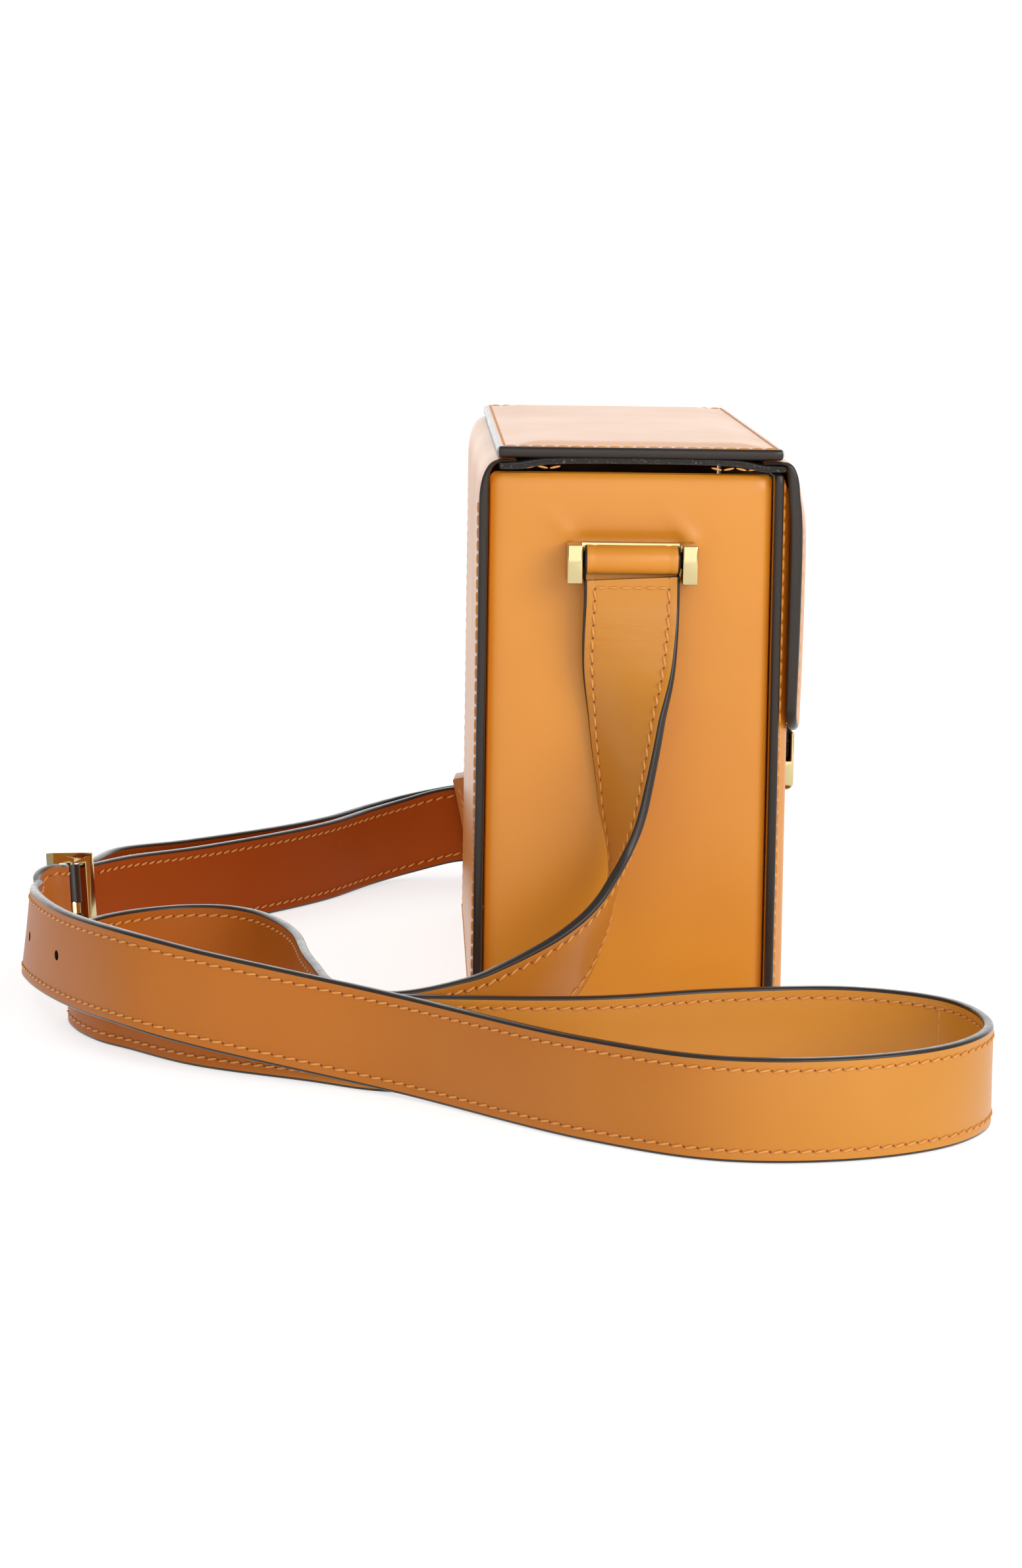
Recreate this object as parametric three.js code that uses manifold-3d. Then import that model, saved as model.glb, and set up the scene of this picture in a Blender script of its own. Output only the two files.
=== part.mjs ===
// A stiff leather box bag with a lid, a front flap, a hook clasp, two strap brackets and a long
// shoulder strap that lies round it on its edge.
// Millimetres, +Z up. +X is the front with the flap, -Y the side with the near bracket.
// The origin is the centre of the base.

import * as THREE from 'three';
import { mergeVertices } from 'three/addons/utils/BufferGeometryUtils.js';
import Module from 'manifold-3d';

const wasm = await Module();
wasm.setup();

// Box
const BODY_DEPTH = 81;
const BODY_LENGTH = 178;
const BODY_HEIGHT = 155;
const PANEL_WALL = 2.5;
const PANEL_CROWN = 2.8;
const BASE_WALL = 2.5;
const SIDE_WALL = 4;
const SIDE_INSET = 1;
const PILLOW_DEPTH = 3.2;
const PILLOW_RUN = 5.5;
const STITCH_MARGIN = 3.2;
const CROWN_RUN = 12;
const CLEARANCE = 0.3;

// Lid
const LID_GAP = 3.6;
const LID_WALL = 3;
const LID_CROWN = 1;
const LID_BACK_STEP = 4.6;
const LINER_WALL = 1.4;
const LINER_INSET = 0.9;
const LINER_REACH = 13;
const FOLD_WALL = 0.9;
const CURL_REACH = 5.75;
const CURL_DROP = 9.85;

// Flap
const FLAP_WALL = 3.2;
const FLAP_HANG = 69.8;
const FLAP_DOME = 5;
const FLAP_BEND_EXTRA = 1.4;
const FLAP_CORNER = 7;

// Clasp
const HOOK_WIDTH = 100;
const HOOK_BLOCK = 8.1;
const HOOK_LIP = 16.2;
const HOOK_REACH = 5.4;
const HOOK_LIP_WALL = 0.8;
const HOOK_DROP = 91.2;
const TONGUE_WALL = 1.9;
const TONGUE_HOLD = 14;
const TONGUE_INSET = 3;

// Strap brackets
const BRACKET_DROP = 23.6;
const BRACKET_HEIGHT = 10.4;
const BRACKET_REACH = 10.8;
const CHEEK_WALL = 4;
const BACK_PLATE = 1.2;
const BAR_RADIUS = 2.2;
const BAR_RISE = 1;
const BAR_REACH = 6.6;

// Strap. The hanging end stands this far out from the side panel's face.
const HANG_OUT = 7.6;
const STRAP_WIDTH = 25.4;
const STRAP_WALL = 2.5;
const STRAP_EDGE = 0.8;
const LOOP_WALL = 1.4;
const LOOP_TAIL = 3.5;
const SIDE_PLAY = 0.5;
const LAYER_GAP = 0.8;
const HOLE_RADIUS = 1.4;
const HOLE_PITCH = 28;
const HOLES_BEFORE = 3;
const HOLES_AFTER = 2;
const TAIL_PAST_KEEPER = 9;

// Buckle and keeper
const BUCKLE_LENGTH = 24;
const BUCKLE_RAIL = 3;
const NEAR_BAR = 3.5;
const FAR_BAR = 5;
const BUCKLE_WALL = 2.2;
const CENTRE_BAR_RADIUS = 1.2;
const PRONG_RADIUS = 0.9;
const BUCKLE_X = -3.847;
const BUCKLE_Y = 0.014;
const BUCKLE_TURN = 24.1;
const BUCKLE_PITCH = 9.2;
const BUCKLE_LEAN = 9.8;
const BUCKLE_LOOP_WALL = 1.2;
const BUCKLE_LOOP_TAIL = 4;
const SHORT_END_OUT = 0.35;
const PRONG_WALL = 0.8;
const PRONG_EYE = 3;
const KEEPER_X = -0.87;
const KEEPER_TILT = 12;
const KEEPER_LENGTH = 9;
const KEEPER_WALL = 2;
const KEEPER_PLAY = 1.6;

const CURVE_STEPS = 12;
const STRAP_STEP = 7;

const halfDepth = BODY_DEPTH / 2;
const halfLength = BODY_LENGTH / 2;
const lidBottom = BODY_HEIGHT + LID_GAP;
const hookBase = BODY_HEIGHT - HOOK_DROP;
const bracketZ = BODY_HEIGHT - BRACKET_DROP;

const TAN = new THREE.MeshStandardMaterial({ color: 0xe09a4c, roughness: 0.38, metalness: 0 });
const BLACK = new THREE.MeshStandardMaterial({ color: 0x2f2722, roughness: 0.8, metalness: 0 });
const GOLD = new THREE.MeshStandardMaterial({ color: 0xe8cf8a, roughness: 0.12, metalness: 1 });

const bag = new THREE.Group();

function part(name, geometry, material, parent = bag) {
  const mesh = new THREE.Mesh(geometry, material);
  mesh.name = name;
  parent.add(mesh);
  return mesh;
}

const X_AXIS = new THREE.Vector3(1, 0, 0);
const Y_AXIS = new THREE.Vector3(0, 1, 0);
const Z_AXIS = new THREE.Vector3(0, 0, 1);

// Turns a mesh so that its own X and Y run along the two given directions.
function stand(mesh, xDirection, yDirection) {
  const normal = xDirection.clone().cross(yDirection);
  mesh.setRotationFromMatrix(new THREE.Matrix4().makeBasis(xDirection, yDirection, normal));
}

// Booleans

function toSolid(geometry) {
  const bare = geometry.clone();
  bare.deleteAttribute('normal');
  bare.deleteAttribute('uv');
  const merged = mergeVertices(bare, 1e-4);
  return new wasm.Manifold(new wasm.Mesh({
    numProp: 3,
    vertProperties: new Float32Array(merged.attributes.position.array),
    triVerts: new Uint32Array(merged.index.array),
  }));
}

function fromSolid(solid) {
  const mesh = solid.getMesh();
  const geometry = new THREE.BufferGeometry();
  geometry.setAttribute('position', new THREE.BufferAttribute(mesh.vertProperties, 3));
  geometry.setIndex(new THREE.BufferAttribute(mesh.triVerts, 1));
  return geometry;
}

// Closed skins through rings

function capTriangles(ring) {
  const centre = ring.reduce((sum, p) => sum.add(p), new THREE.Vector3()).divideScalar(ring.length);
  const normal = new THREE.Vector3();
  ring.forEach((p, i) => {
    const a = p.clone().sub(centre);
    const b = ring[(i + 1) % ring.length].clone().sub(centre);
    normal.add(a.cross(b));
  });
  normal.normalize();
  const across = ring[1].clone().sub(ring[0]).normalize();
  const up = normal.clone().cross(across);
  const flat = ring.map((p) => new THREE.Vector2(p.dot(across), p.dot(up)));
  return THREE.ShapeUtils.triangulateShape(flat, []).map(([a, b, c]) => {
    const turn = (flat[b].x - flat[a].x) * (flat[c].y - flat[a].y)
      - (flat[b].y - flat[a].y) * (flat[c].x - flat[a].x);
    return turn > 0 ? [a, b, c] : [a, c, b];
  });
}

function signedVolume(points, faces) {
  return faces.reduce((sum, [a, b, c]) =>
    sum + points[a].dot(points[b].clone().cross(points[c])) / 6, 0);
}

function loft(rings) {
  const count = rings[0].length;
  const points = rings.flat();
  const faces = [];
  for (let level = 0; level + 1 < rings.length; level += 1) {
    for (let i = 0; i < count; i += 1) {
      const next = (i + 1) % count;
      const low = level * count;
      const high = low + count;
      faces.push([low + i, low + next, high + next], [low + i, high + next, high + i]);
    }
  }
  const top = points.length - count;
  capTriangles(rings[0]).forEach(([a, b, c]) => faces.push([a, c, b]));
  capTriangles(rings[rings.length - 1]).forEach(([a, b, c]) => faces.push([top + a, top + b, top + c]));
  const outward = signedVolume(points, faces) > 0;
  const geometry = new THREE.BufferGeometry().setFromPoints(points);
  geometry.setIndex(faces.flatMap(([a, b, c]) => (outward ? [a, b, c] : [a, c, b])));
  return geometry;
}

function roundedRectangle(width, height, radius, steps = 3) {
  const corners = [[1, 1, 0], [-1, 1, 1], [-1, -1, 2], [1, -1, 3]];
  return corners.flatMap(([sx, sy, quarter]) => {
    const points = [];
    for (let i = 0; i <= steps; i += 1) {
      const angle = (quarter + i / steps) * Math.PI / 2;
      points.push(new THREE.Vector2(
        sx * (width / 2 - radius) + radius * Math.cos(angle),
        sy * (height / 2 - radius) + radius * Math.sin(angle),
      ));
    }
    return points;
  });
}

// A panel with a flat back: each level draws the outline in and lifts it.
function cushion(width, height, corner, levels) {
  const least = 0.3;
  return loft(levels.map(([inset, rise]) => {
    const radius = Math.max(corner - inset, least);
    return roundedRectangle(width - 2 * inset, height - 2 * inset, radius)
      .map((p) => new THREE.Vector3(p.x, p.y, rise));
  }));
}

function crownLevels(wall, crown, margin, run) {
  const edge = wall * 0.25;
  const levels = [[edge, 0], [0, edge], [0, wall - edge], [edge, wall], [margin, wall]];
  [0.3, 0.6, 1].forEach((share) => {
    levels.push([margin + run * share, wall + crown * Math.sin(share * Math.PI / 2)]);
  });
  return levels;
}

// A shape in a plane, given a thickness along the plane's normal.
function slab(shape, depth) {
  const geometry = new THREE.ExtrudeGeometry(shape, {
    depth, bevelEnabled: false, curveSegments: CURVE_STEPS,
  });
  return geometry.translate(0, 0, -depth / 2);
}

// A sheet's cut outline from the middle line's points [x, z, wall], rounded at its last end.
function sheetOutline(line) {
  const left = [];
  const right = [];
  const tangents = line.map((_, i) => {
    const before = line[Math.max(i - 1, 0)];
    const after = line[Math.min(i + 1, line.length - 1)];
    return new THREE.Vector2(after[0] - before[0], after[1] - before[1]).normalize();
  });
  line.forEach(([x, z, wall], i) => {
    const side = new THREE.Vector2(-tangents[i].y, tangents[i].x).multiplyScalar(wall / 2);
    left.push(new THREE.Vector2(x + side.x, z + side.y));
    right.push(new THREE.Vector2(x - side.x, z - side.y));
  });
  const [endX, endZ, endWall] = line[line.length - 1];
  const tangent = tangents[line.length - 1];
  const nose = [-50, 0, 50].map((degrees) => {
    const angle = THREE.MathUtils.degToRad(degrees);
    return new THREE.Vector2(
      endX + (tangent.x * Math.cos(angle) + tangent.y * Math.sin(angle)) * endWall / 2,
      endZ + (tangent.y * Math.cos(angle) - tangent.x * Math.sin(angle)) * endWall / 2,
    );
  });
  return [...left, ...nose, ...right.reverse()];
}

// Sections of a sheet set one after another along Y.
function sheet(stations, lineAt) {
  return loft(stations.map((y) => sheetOutline(lineAt(y))
    .map((p) => new THREE.Vector3(p.x, y, p.y))));
}

// Body panels

function makeBody() {
  const innerDepth = BODY_DEPTH - 2 * PANEL_WALL - 2 * CLEARANCE;
  part('bottom_panel', cushion(innerDepth, BODY_LENGTH - 2 * SIDE_INSET, 1, [
    [0, 0], [0, BASE_WALL],
  ]), TAN);

  const levels = crownLevels(PANEL_WALL, PANEL_CROWN, STITCH_MARGIN, CROWN_RUN);
  const front = part('front_panel', cushion(BODY_LENGTH, BODY_HEIGHT, 1.5, levels), TAN);
  stand(front, Y_AXIS, Z_AXIS);
  front.position.set(halfDepth - PANEL_WALL, 0, BODY_HEIGHT / 2);

  const sideFoot = BASE_WALL + CLEARANCE;
  const sideHeight = BODY_HEIGHT - CLEARANCE - sideFoot;
  const rim = SIDE_WALL - PILLOW_DEPTH;
  const pillow = [[0, 0], [0, rim]];
  [22.5, 45, 67.5, 90].forEach((degrees) => {
    const angle = THREE.MathUtils.degToRad(degrees);
    pillow.push([PILLOW_RUN * (1 - Math.cos(angle)), rim + PILLOW_DEPTH * Math.sin(angle)]);
  });
  ['near', 'far'].forEach((name, i) => {
    const side = part(`side_panel_${name}`, cushion(innerDepth, sideHeight, 2, pillow), TAN);
    const outward = i === 0 ? -1 : 1;
    stand(side, X_AXIS.clone().multiplyScalar(-outward), Z_AXIS);
    side.position.set(0, outward * (halfLength - SIDE_INSET - SIDE_WALL), sideFoot + sideHeight / 2);
  });
}

// The back panel stands flat, then thins as it curls forward into the lid. The curl's places are
// shares of its reach forward, its drop below the fold and the panel's wall.
const CURL = [
  { forward: 0, down: 1, wall: 1 },
  { forward: 0.026, down: 0.7, wall: 0.88 },
  { forward: 0.07, down: 0.49, wall: 0.72 },
  { forward: 0.183, down: 0.29, wall: 0.6 },
  { forward: 0.357, down: 0.127, wall: 0.5 },
  { forward: 0.635, down: 0.025, wall: 0.4 },
  { forward: 1, down: 0, wall: 0.36 },
  { forward: 1.45, down: 0, wall: 0.24 },
];

const foldZ = lidBottom - CLEARANCE - FOLD_WALL / 2;

function makeBackPanel() {
  const middle = -halfDepth + PANEL_WALL / 2;
  const line = [[middle, 0, PANEL_WALL]];
  CURL.forEach(({ forward, down, wall }) => {
    line.push([middle + forward * CURL_REACH, foldZ - down * CURL_DROP, PANEL_WALL * wall]);
  });
  part('back_panel', sheet([-halfLength, halfLength], () => line), TAN);
}

// The liner under the lid lies against it in the middle and drops at both ends to let the folds in.
const LINER = [
  { along: 0, drop: 1 },
  { along: 0.4, drop: 0.95 },
  { along: 0.72, drop: 0.4 },
  { along: 1, drop: 0 },
];

function makeLid() {
  const lidDepth = BODY_DEPTH - LID_BACK_STEP;
  const top = part('lid_top', cushion(lidDepth, BODY_LENGTH, 1.5,
    crownLevels(LID_WALL, LID_CROWN, STITCH_MARGIN, CROWN_RUN)), TAN);
  top.position.set(LID_BACK_STEP / 2, 0, lidBottom);

  const high = lidBottom - CLEARANCE - LINER_WALL / 2;
  const low = foldZ - FOLD_WALL / 2 - 1.6 * CLEARANCE - LINER_WALL / 2;
  const back = -halfDepth + LID_BACK_STEP + LINER_INSET;
  const front = halfDepth - LINER_INSET;
  const drop = ({ along, drop: share }, start, way) =>
    [start + way * along * LINER_REACH, high - share * (high - low), LINER_WALL];
  const line = [
    ...LINER.map((row) => drop(row, back, 1)),
    ...LINER.toReversed().map((row) => drop(row, front, -1)),
  ];
  part('lid_liner', sheet([-halfLength, halfLength], () => line), BLACK);
}

// The flap's section: out is measured from the front panel's face, down from the lid's fold, both
// for its upper bend; the hanging rows below give shares of its length.
const FLAP_BEND = [
  { out: -1.5, down: 0, wall: 0.29, dome: 0 },
  { out: -0.3, down: 0, wall: 0.29, dome: 0 },
  { out: 0.22, down: 0.05, wall: 0.38, dome: 0 },
  { out: 0.48, down: 0.22, wall: 0.55, dome: 0.03 },
  { out: 0.64, down: 0.55, wall: 0.75, dome: 0.14 },
  { out: 0.73, down: 1, wall: 0.9, dome: 0.36 },
];
const FLAP_DROP = [
  { share: 0.06, out: 0.8, wall: 0.95, dome: 0.66 },
  { share: 0.13, out: 0.92, wall: 1, dome: 0.86 },
  { share: 0.22, out: 0.99, wall: 1.03, dome: 0.97 },
  { share: 0.5, out: 0.99, wall: 1, dome: 1 },
  { share: 0.8, out: 0.92, wall: 0.97, dome: 1 },
  { share: 1, out: 0.87, wall: 0.9, dome: 0.98 },
];
// How far the flap has domed at each share of half its length, measured in from its side edges.
const FLAP_SIDES = [
  { inward: 0, dome: 0 },
  { inward: 0.015, dome: 0.06 },
  { inward: 0.035, dome: 0.15 },
  { inward: 0.06, dome: 0.25 },
  { inward: 0.1, dome: 0.39 },
  { inward: 0.165, dome: 0.53 },
  { inward: 0.28, dome: 0.72 },
  { inward: 0.45, dome: 0.91 },
  { inward: 0.7, dome: 0.98 },
  { inward: 1, dome: 1 },
];

function makeFlap() {
  const bendDrop = lidBottom - BODY_HEIGHT + FLAP_BEND_EXTRA;
  const bendOut = CLEARANCE + FLAP_WALL;
  const hangTop = foldZ - bendDrop;
  const flapBottom = BODY_HEIGHT - FLAP_HANG + FLAP_WALL / 2;
  const lineAt = (y) => {
    const inward = (halfLength - Math.abs(y)) / halfLength;
    const dome = FLAP_DOME * mix(FLAP_SIDES, 'inward', 'dome', inward);
    const corner = Math.max(0, FLAP_CORNER - (halfLength - Math.abs(y)));
    const bottom = flapBottom + FLAP_CORNER - Math.sqrt(FLAP_CORNER ** 2 - corner ** 2);
    const bend = FLAP_BEND.map((row) =>
      [halfDepth + row.out * bendOut + row.dome * dome, foldZ - row.down * bendDrop, FLAP_WALL * row.wall]);
    const hang = FLAP_DROP.map((row) =>
      [halfDepth + row.out * bendOut + row.dome * dome,
        THREE.MathUtils.lerp(hangTop, bottom, row.share), FLAP_WALL * row.wall]);
    return [...bend, ...hang];
  };
  const half = FLAP_SIDES.map(({ inward }) => halfLength * (1 - inward));
  const stations = [...half, ...half.slice(0, -1).reverse().map((y) => -y)];
  part('front_flap', sheet(stations, lineAt), TAN);
}

// Linear look-up in a table whose key column rises.
function mix(table, key, value, at) {
  const next = table.findIndex((row) => row[key] >= at);
  if (next < 0) return table[table.length - 1][value];
  if (next === 0) return table[0][value];
  const before = table[next - 1];
  const share = (at - before[key]) / (table[next][key] - before[key]);
  return THREE.MathUtils.lerp(before[value], table[next][value], share);
}

// The hook is a bar on the front panel with a thin lip standing off it; the flap's tongue hangs
// into the slot between them.
function makeClasp() {
  const back = halfDepth + PANEL_CROWN + CLEARANCE;
  const nose = back + HOOK_REACH;
  const round = HOOK_BLOCK / 4;
  const outline = new THREE.Shape();
  outline.moveTo(back, hookBase);
  outline.lineTo(nose - round, hookBase);
  outline.absarc(nose - round, hookBase + round, round, -Math.PI / 2, 0);
  outline.lineTo(nose, hookBase + HOOK_LIP);
  outline.lineTo(nose - HOOK_LIP_WALL, hookBase + HOOK_LIP);
  outline.lineTo(nose - HOOK_LIP_WALL, hookBase + HOOK_BLOCK);
  outline.lineTo(back, hookBase + HOOK_BLOCK);
  const hook = part('clasp_hook', slab(outline, HOOK_WIDTH), GOLD);
  stand(hook, X_AXIS, Z_AXIS);

  const tucked = nose - HOOK_LIP_WALL - CLEARANCE - TONGUE_WALL / 2;
  const behind = back + TONGUE_WALL / 2;
  const slotFloor = hookBase + HOOK_BLOCK + CLEARANCE + TONGUE_WALL / 2;
  const lipTop = hookBase + HOOK_LIP;
  const flapEnd = BODY_HEIGHT - FLAP_HANG;
  const line = [
    [behind, flapEnd + TONGUE_HOLD, TONGUE_WALL],
    [behind, flapEnd + CLEARANCE, TONGUE_WALL],
    [(behind + tucked) / 2, (flapEnd + lipTop) / 2 - CLEARANCE, TONGUE_WALL],
    [tucked, lipTop - TONGUE_WALL, TONGUE_WALL],
    [tucked, slotFloor, TONGUE_WALL],
  ];
  const half = HOOK_WIDTH / 2 - TONGUE_INSET;
  part('clasp_tongue', sheet([-half, half], () => line), BLACK);
}

function box(x0, x1, y0, y1, z0, z1) {
  return new THREE.BoxGeometry(x1 - x0, y1 - y0, z1 - z0)
    .translate((x0 + x1) / 2, (y0 + y1) / 2, (z0 + z1) / 2);
}

function rod(radius, length, sides = 16) {
  return new THREE.CylinderGeometry(radius, radius, length, sides);
}

// A strap's end: a thin leather ring round a bar, whose tail runs along the strap's back. The
// section lies in a plane with the bar at its origin and the tail running down.
function loopShape(barRadius, wall, tailAt, tailLength) {
  const inner = barRadius + CLEARANCE;
  const outer = inner + wall;
  const left = tailAt - wall / 2;
  const right = tailAt + wall / 2;
  const start = Math.atan2(-Math.sqrt(outer ** 2 - right ** 2), right);
  const end = Math.atan2(-Math.sqrt(outer ** 2 - left ** 2), left);
  const shape = new THREE.Shape();
  shape.moveTo(left, -outer - tailLength);
  shape.lineTo(right, -outer - tailLength);
  shape.absarc(0, 0, outer, start, end + Math.PI * 2, false);
  const hole = new THREE.Path();
  hole.absarc(0, 0, inner, 0, Math.PI * 2, true);
  shape.holes.push(hole);
  return shape;
}

// Brackets with the bar that the strap's end goes round, one on each side panel.
function makeBrackets() {
  const faceOut = halfLength - SIDE_INSET;
  const bottom = bracketZ - BRACKET_HEIGHT / 2;
  const gap = STRAP_WIDTH / 2 + SIDE_PLAY;
  const side = gap + CHEEK_WALL;
  const back = CLEARANCE;
  ['near', 'far'].forEach((name, i) => {
    const group = new THREE.Group();
    group.rotation.z = i * Math.PI;
    group.position.set(0, (i === 0 ? -1 : 1) * faceOut, 0);
    bag.add(group);

    const plate = toSolid(box(-side, side, -back - BACK_PLATE, -back, bottom, bottom + BRACKET_HEIGHT));
    const cheek = (x0, x1) => toSolid(box(x0, x1, -BRACKET_REACH, -back, bottom, bottom + BRACKET_HEIGHT));
    const bar = toSolid(rod(BAR_RADIUS, 2 * gap + CHEEK_WALL).rotateZ(Math.PI / 2)
      .translate(0, -BAR_REACH, bracketZ + BAR_RISE));
    const solid = plate.add(cheek(-side, -gap)).add(cheek(gap, side)).add(bar);
    part(`bracket_${name}`, fromSolid(solid), GOLD, group);

    const tailAt = HANG_OUT - STRAP_WALL / 2 - CLEARANCE - LOOP_WALL / 2 - BAR_REACH;
    const loop = part(`strap_end_loop_${name}`,
      slab(loopShape(BAR_RADIUS, LOOP_WALL, tailAt, LOOP_TAIL), STRAP_WIDTH), TAN, group);
    stand(loop, Y_AXIS.clone().negate(), Z_AXIS);
    loop.position.set(0, -BAR_REACH, bracketZ + BAR_RISE);
  });
}

// The strap's route. x is a share of half the bag's depth. out is a share of half its length,
// measured from the plane in which the strap hangs, and layer counts straps that lie between.
// rise is a share of the way up to the bracket. The width turns from level and along X at the
// bracket (swing 0, stand 0) to upright on the floor (stand 90).
const NEAR_ROUTE = [
  { x: 0, out: 0, rise: 1, swing: 0, stand: 0, layer: 0 },
  { x: 0, out: 0, rise: 0.93, swing: 0, stand: 0, layer: 0 },
  { x: -0.01, out: 0.015, rise: 0.82, swing: 15, stand: 0, layer: 0 },
  { x: -0.025, out: 0.034, rise: 0.669, swing: 44, stand: 0, layer: 0 },
  { x: -0.037, out: 0.062, rise: 0.479, swing: 66, stand: 3, layer: 0 },
  { x: -0.062, out: 0.105, rise: 0.346, swing: 86, stand: 14, layer: 0 },
  { x: -0.18, out: 0.208, rise: 0.244, swing: 95, stand: 34, layer: 0 },
  { x: -0.38, out: 0.298, rise: 0.16, swing: 98, stand: 55, layer: 0 },
  { x: -0.84, out: 0.399, rise: 0.055, swing: 98, stand: 80, layer: 0 },
  { x: -1.08, out: 0.433, rise: 0.025, swing: 98, stand: 88, layer: 0 },
  { x: -1.48, out: 0.448, rise: 0, swing: 98, stand: 90, layer: 0 },
  { x: -1.7, out: 0.418, rise: 0, swing: 98, stand: 90, layer: 0 },
  { x: -1.9, out: 0.325, rise: 0, swing: 98, stand: 90, layer: 0 },
  { x: -2.035, out: 0.08, rise: 0, swing: 98, stand: 90, layer: 0 },
  { x: -2.106, out: -0.084, rise: 0, swing: 98, stand: 90, layer: 0 },
  { x: -2.195, out: -0.365, rise: 0, swing: 98, stand: 90, layer: 0 },
  { x: -2.316, out: -0.534, rise: 0, swing: 98, stand: 90, layer: 0 },
  { x: -2.5, out: -0.68, rise: 0, swing: 98, stand: 90, layer: 0 },
  { x: -2.72, out: -0.75, rise: 0, swing: 98, stand: 90, layer: 0 },
  { x: -3, out: -0.75, rise: 0, swing: 98, stand: 90, layer: 0 },
  { x: -3.36, out: -0.662, rise: 0, swing: 98, stand: 90, layer: 0 },
  { x: -3.62, out: -0.52, rise: 0, swing: 98, stand: 90, layer: 0 },
  { x: -3.7, out: -0.38, rise: 0, swing: 98, stand: 90, layer: 0 },
  { x: -3.64, out: -0.245, rise: 0, swing: 98, stand: 90, layer: 0 },
  { x: -3.45, out: -0.09, rise: 0, swing: 98, stand: 90, layer: 0 },
  { x: -3.25, out: 0, rise: 0, swing: 98, stand: 90, layer: 0 },
  { x: -2.79, out: 0.16, rise: 0, swing: 98, stand: 90, layer: 1 },
  { x: -2.03, out: 0.336, rise: 0, swing: 98, stand: 90, layer: 1 },
  { x: -1.63, out: 0.433, rise: 0, swing: 98, stand: 90, layer: 1 },
  { x: -1.26, out: 0.455, rise: 0, swing: 98, stand: 90, layer: 1 },
  { x: -0.27, out: 0.452, rise: 0, swing: 98, stand: 90, layer: 1 },
  { x: 0.583, out: 0.34, rise: 0, swing: 98, stand: 90, layer: 1 },
  { x: 1.43, out: 0.306, rise: 0, swing: 98, stand: 90, layer: 1 },
  { x: 1.99, out: 0.452, rise: 0, swing: 98, stand: 90, layer: 1 },
  { x: 2.13, out: 0.737, rise: 0, swing: 98, stand: 90, layer: 1 },
  { x: 1.842, out: 0.936, rise: 0, swing: 98, stand: 90, layer: 2 },
  { x: 1.21, out: 1.093, rise: 0, swing: 98, stand: 90, layer: 2 },
  { x: 0.43, out: 1.111, rise: 0, swing: 98, stand: 90, layer: 2 },
  { x: -0.328, out: 0.92, rise: 0, swing: 98, stand: 90, layer: 2 },
  { x: -1.519, out: 0.448, rise: 0.009, swing: 98, stand: 90, layer: 2 },
  { x: -2.783, out: 0.22, rise: 0.064, swing: 98, stand: 90, layer: 2 },
  { x: -3.227, out: 0.105, rise: 0.085, swing: 98, stand: 90, layer: 2 },
  { x: -3.684, out: -0.188, rise: 0.082, swing: 98, stand: 90, layer: 2 },
  { x: -3.985, out: -0.53, rise: 0.076, swing: 180, stand: 94, layer: 2 },
  { x: -4.05, out: -0.86, rise: 0.055, swing: 180, stand: 96, layer: 2 },
];
const FAR_ROUTE = [
  { x: -3.52, out: -0.69, rise: 0.017, swing: 98, stand: 90, layer: 0 },
  { x: -3.035, out: -0.41, rise: 0.003, swing: 98, stand: 90, layer: 0 },
  { x: -2.405, out: -0.084, rise: 0, swing: 98, stand: 90, layer: 0 },
  { x: -2.054, out: 0.129, rise: 0, swing: 98, stand: 90, layer: 0 },
  { x: -1.743, out: 0.354, rise: 0.006, swing: 98, stand: 90, layer: 0 },
  { x: -1.425, out: 0.495, rise: 0.02, swing: 98, stand: 90, layer: 0 },
  { x: -1.1, out: 0.548, rise: 0.043, swing: 98, stand: 90, layer: 0 },
  { x: -0.8, out: 0.55, rise: 0.055, swing: 98, stand: 90, layer: 0 },
  { x: -0.5, out: 0.5, rise: 0.08, swing: 98, stand: 82, layer: 0 },
  { x: -0.27, out: 0.39, rise: 0.15, swing: 98, stand: 60, layer: 0 },
  { x: -0.13, out: 0.26, rise: 0.25, swing: 95, stand: 34, layer: 0 },
  { x: -0.06, out: 0.13, rise: 0.36, swing: 86, stand: 14, layer: 0 },
  { x: -0.035, out: 0.062, rise: 0.5, swing: 66, stand: 3, layer: 0 },
  { x: -0.025, out: 0.034, rise: 0.669, swing: 44, stand: 0, layer: 0 },
  { x: -0.01, out: 0.015, rise: 0.82, swing: 15, stand: 0, layer: 0 },
  { x: 0, out: 0, rise: 0.93, swing: 0, stand: 0, layer: 0 },
  { x: 0, out: 0, rise: 1, swing: 0, stand: 0, layer: 0 },
];
// How far the loose tail bows out from the strap's other end between the buckle and the keeper, as
// shares of that stretch and of the strap's width.
const TAIL_BOW = [
  { along: 0.08, bow: 0.12 },
  { along: 0.18, bow: 0.34 },
  { along: 0.33, bow: 0.31 },
  { along: 0.55, bow: 0.16 },
  { along: 0.68, bow: 0.07 },
  { along: 0.8, bow: 0.04 },
  { along: 0.88, bow: 0.03 },
];

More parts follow.
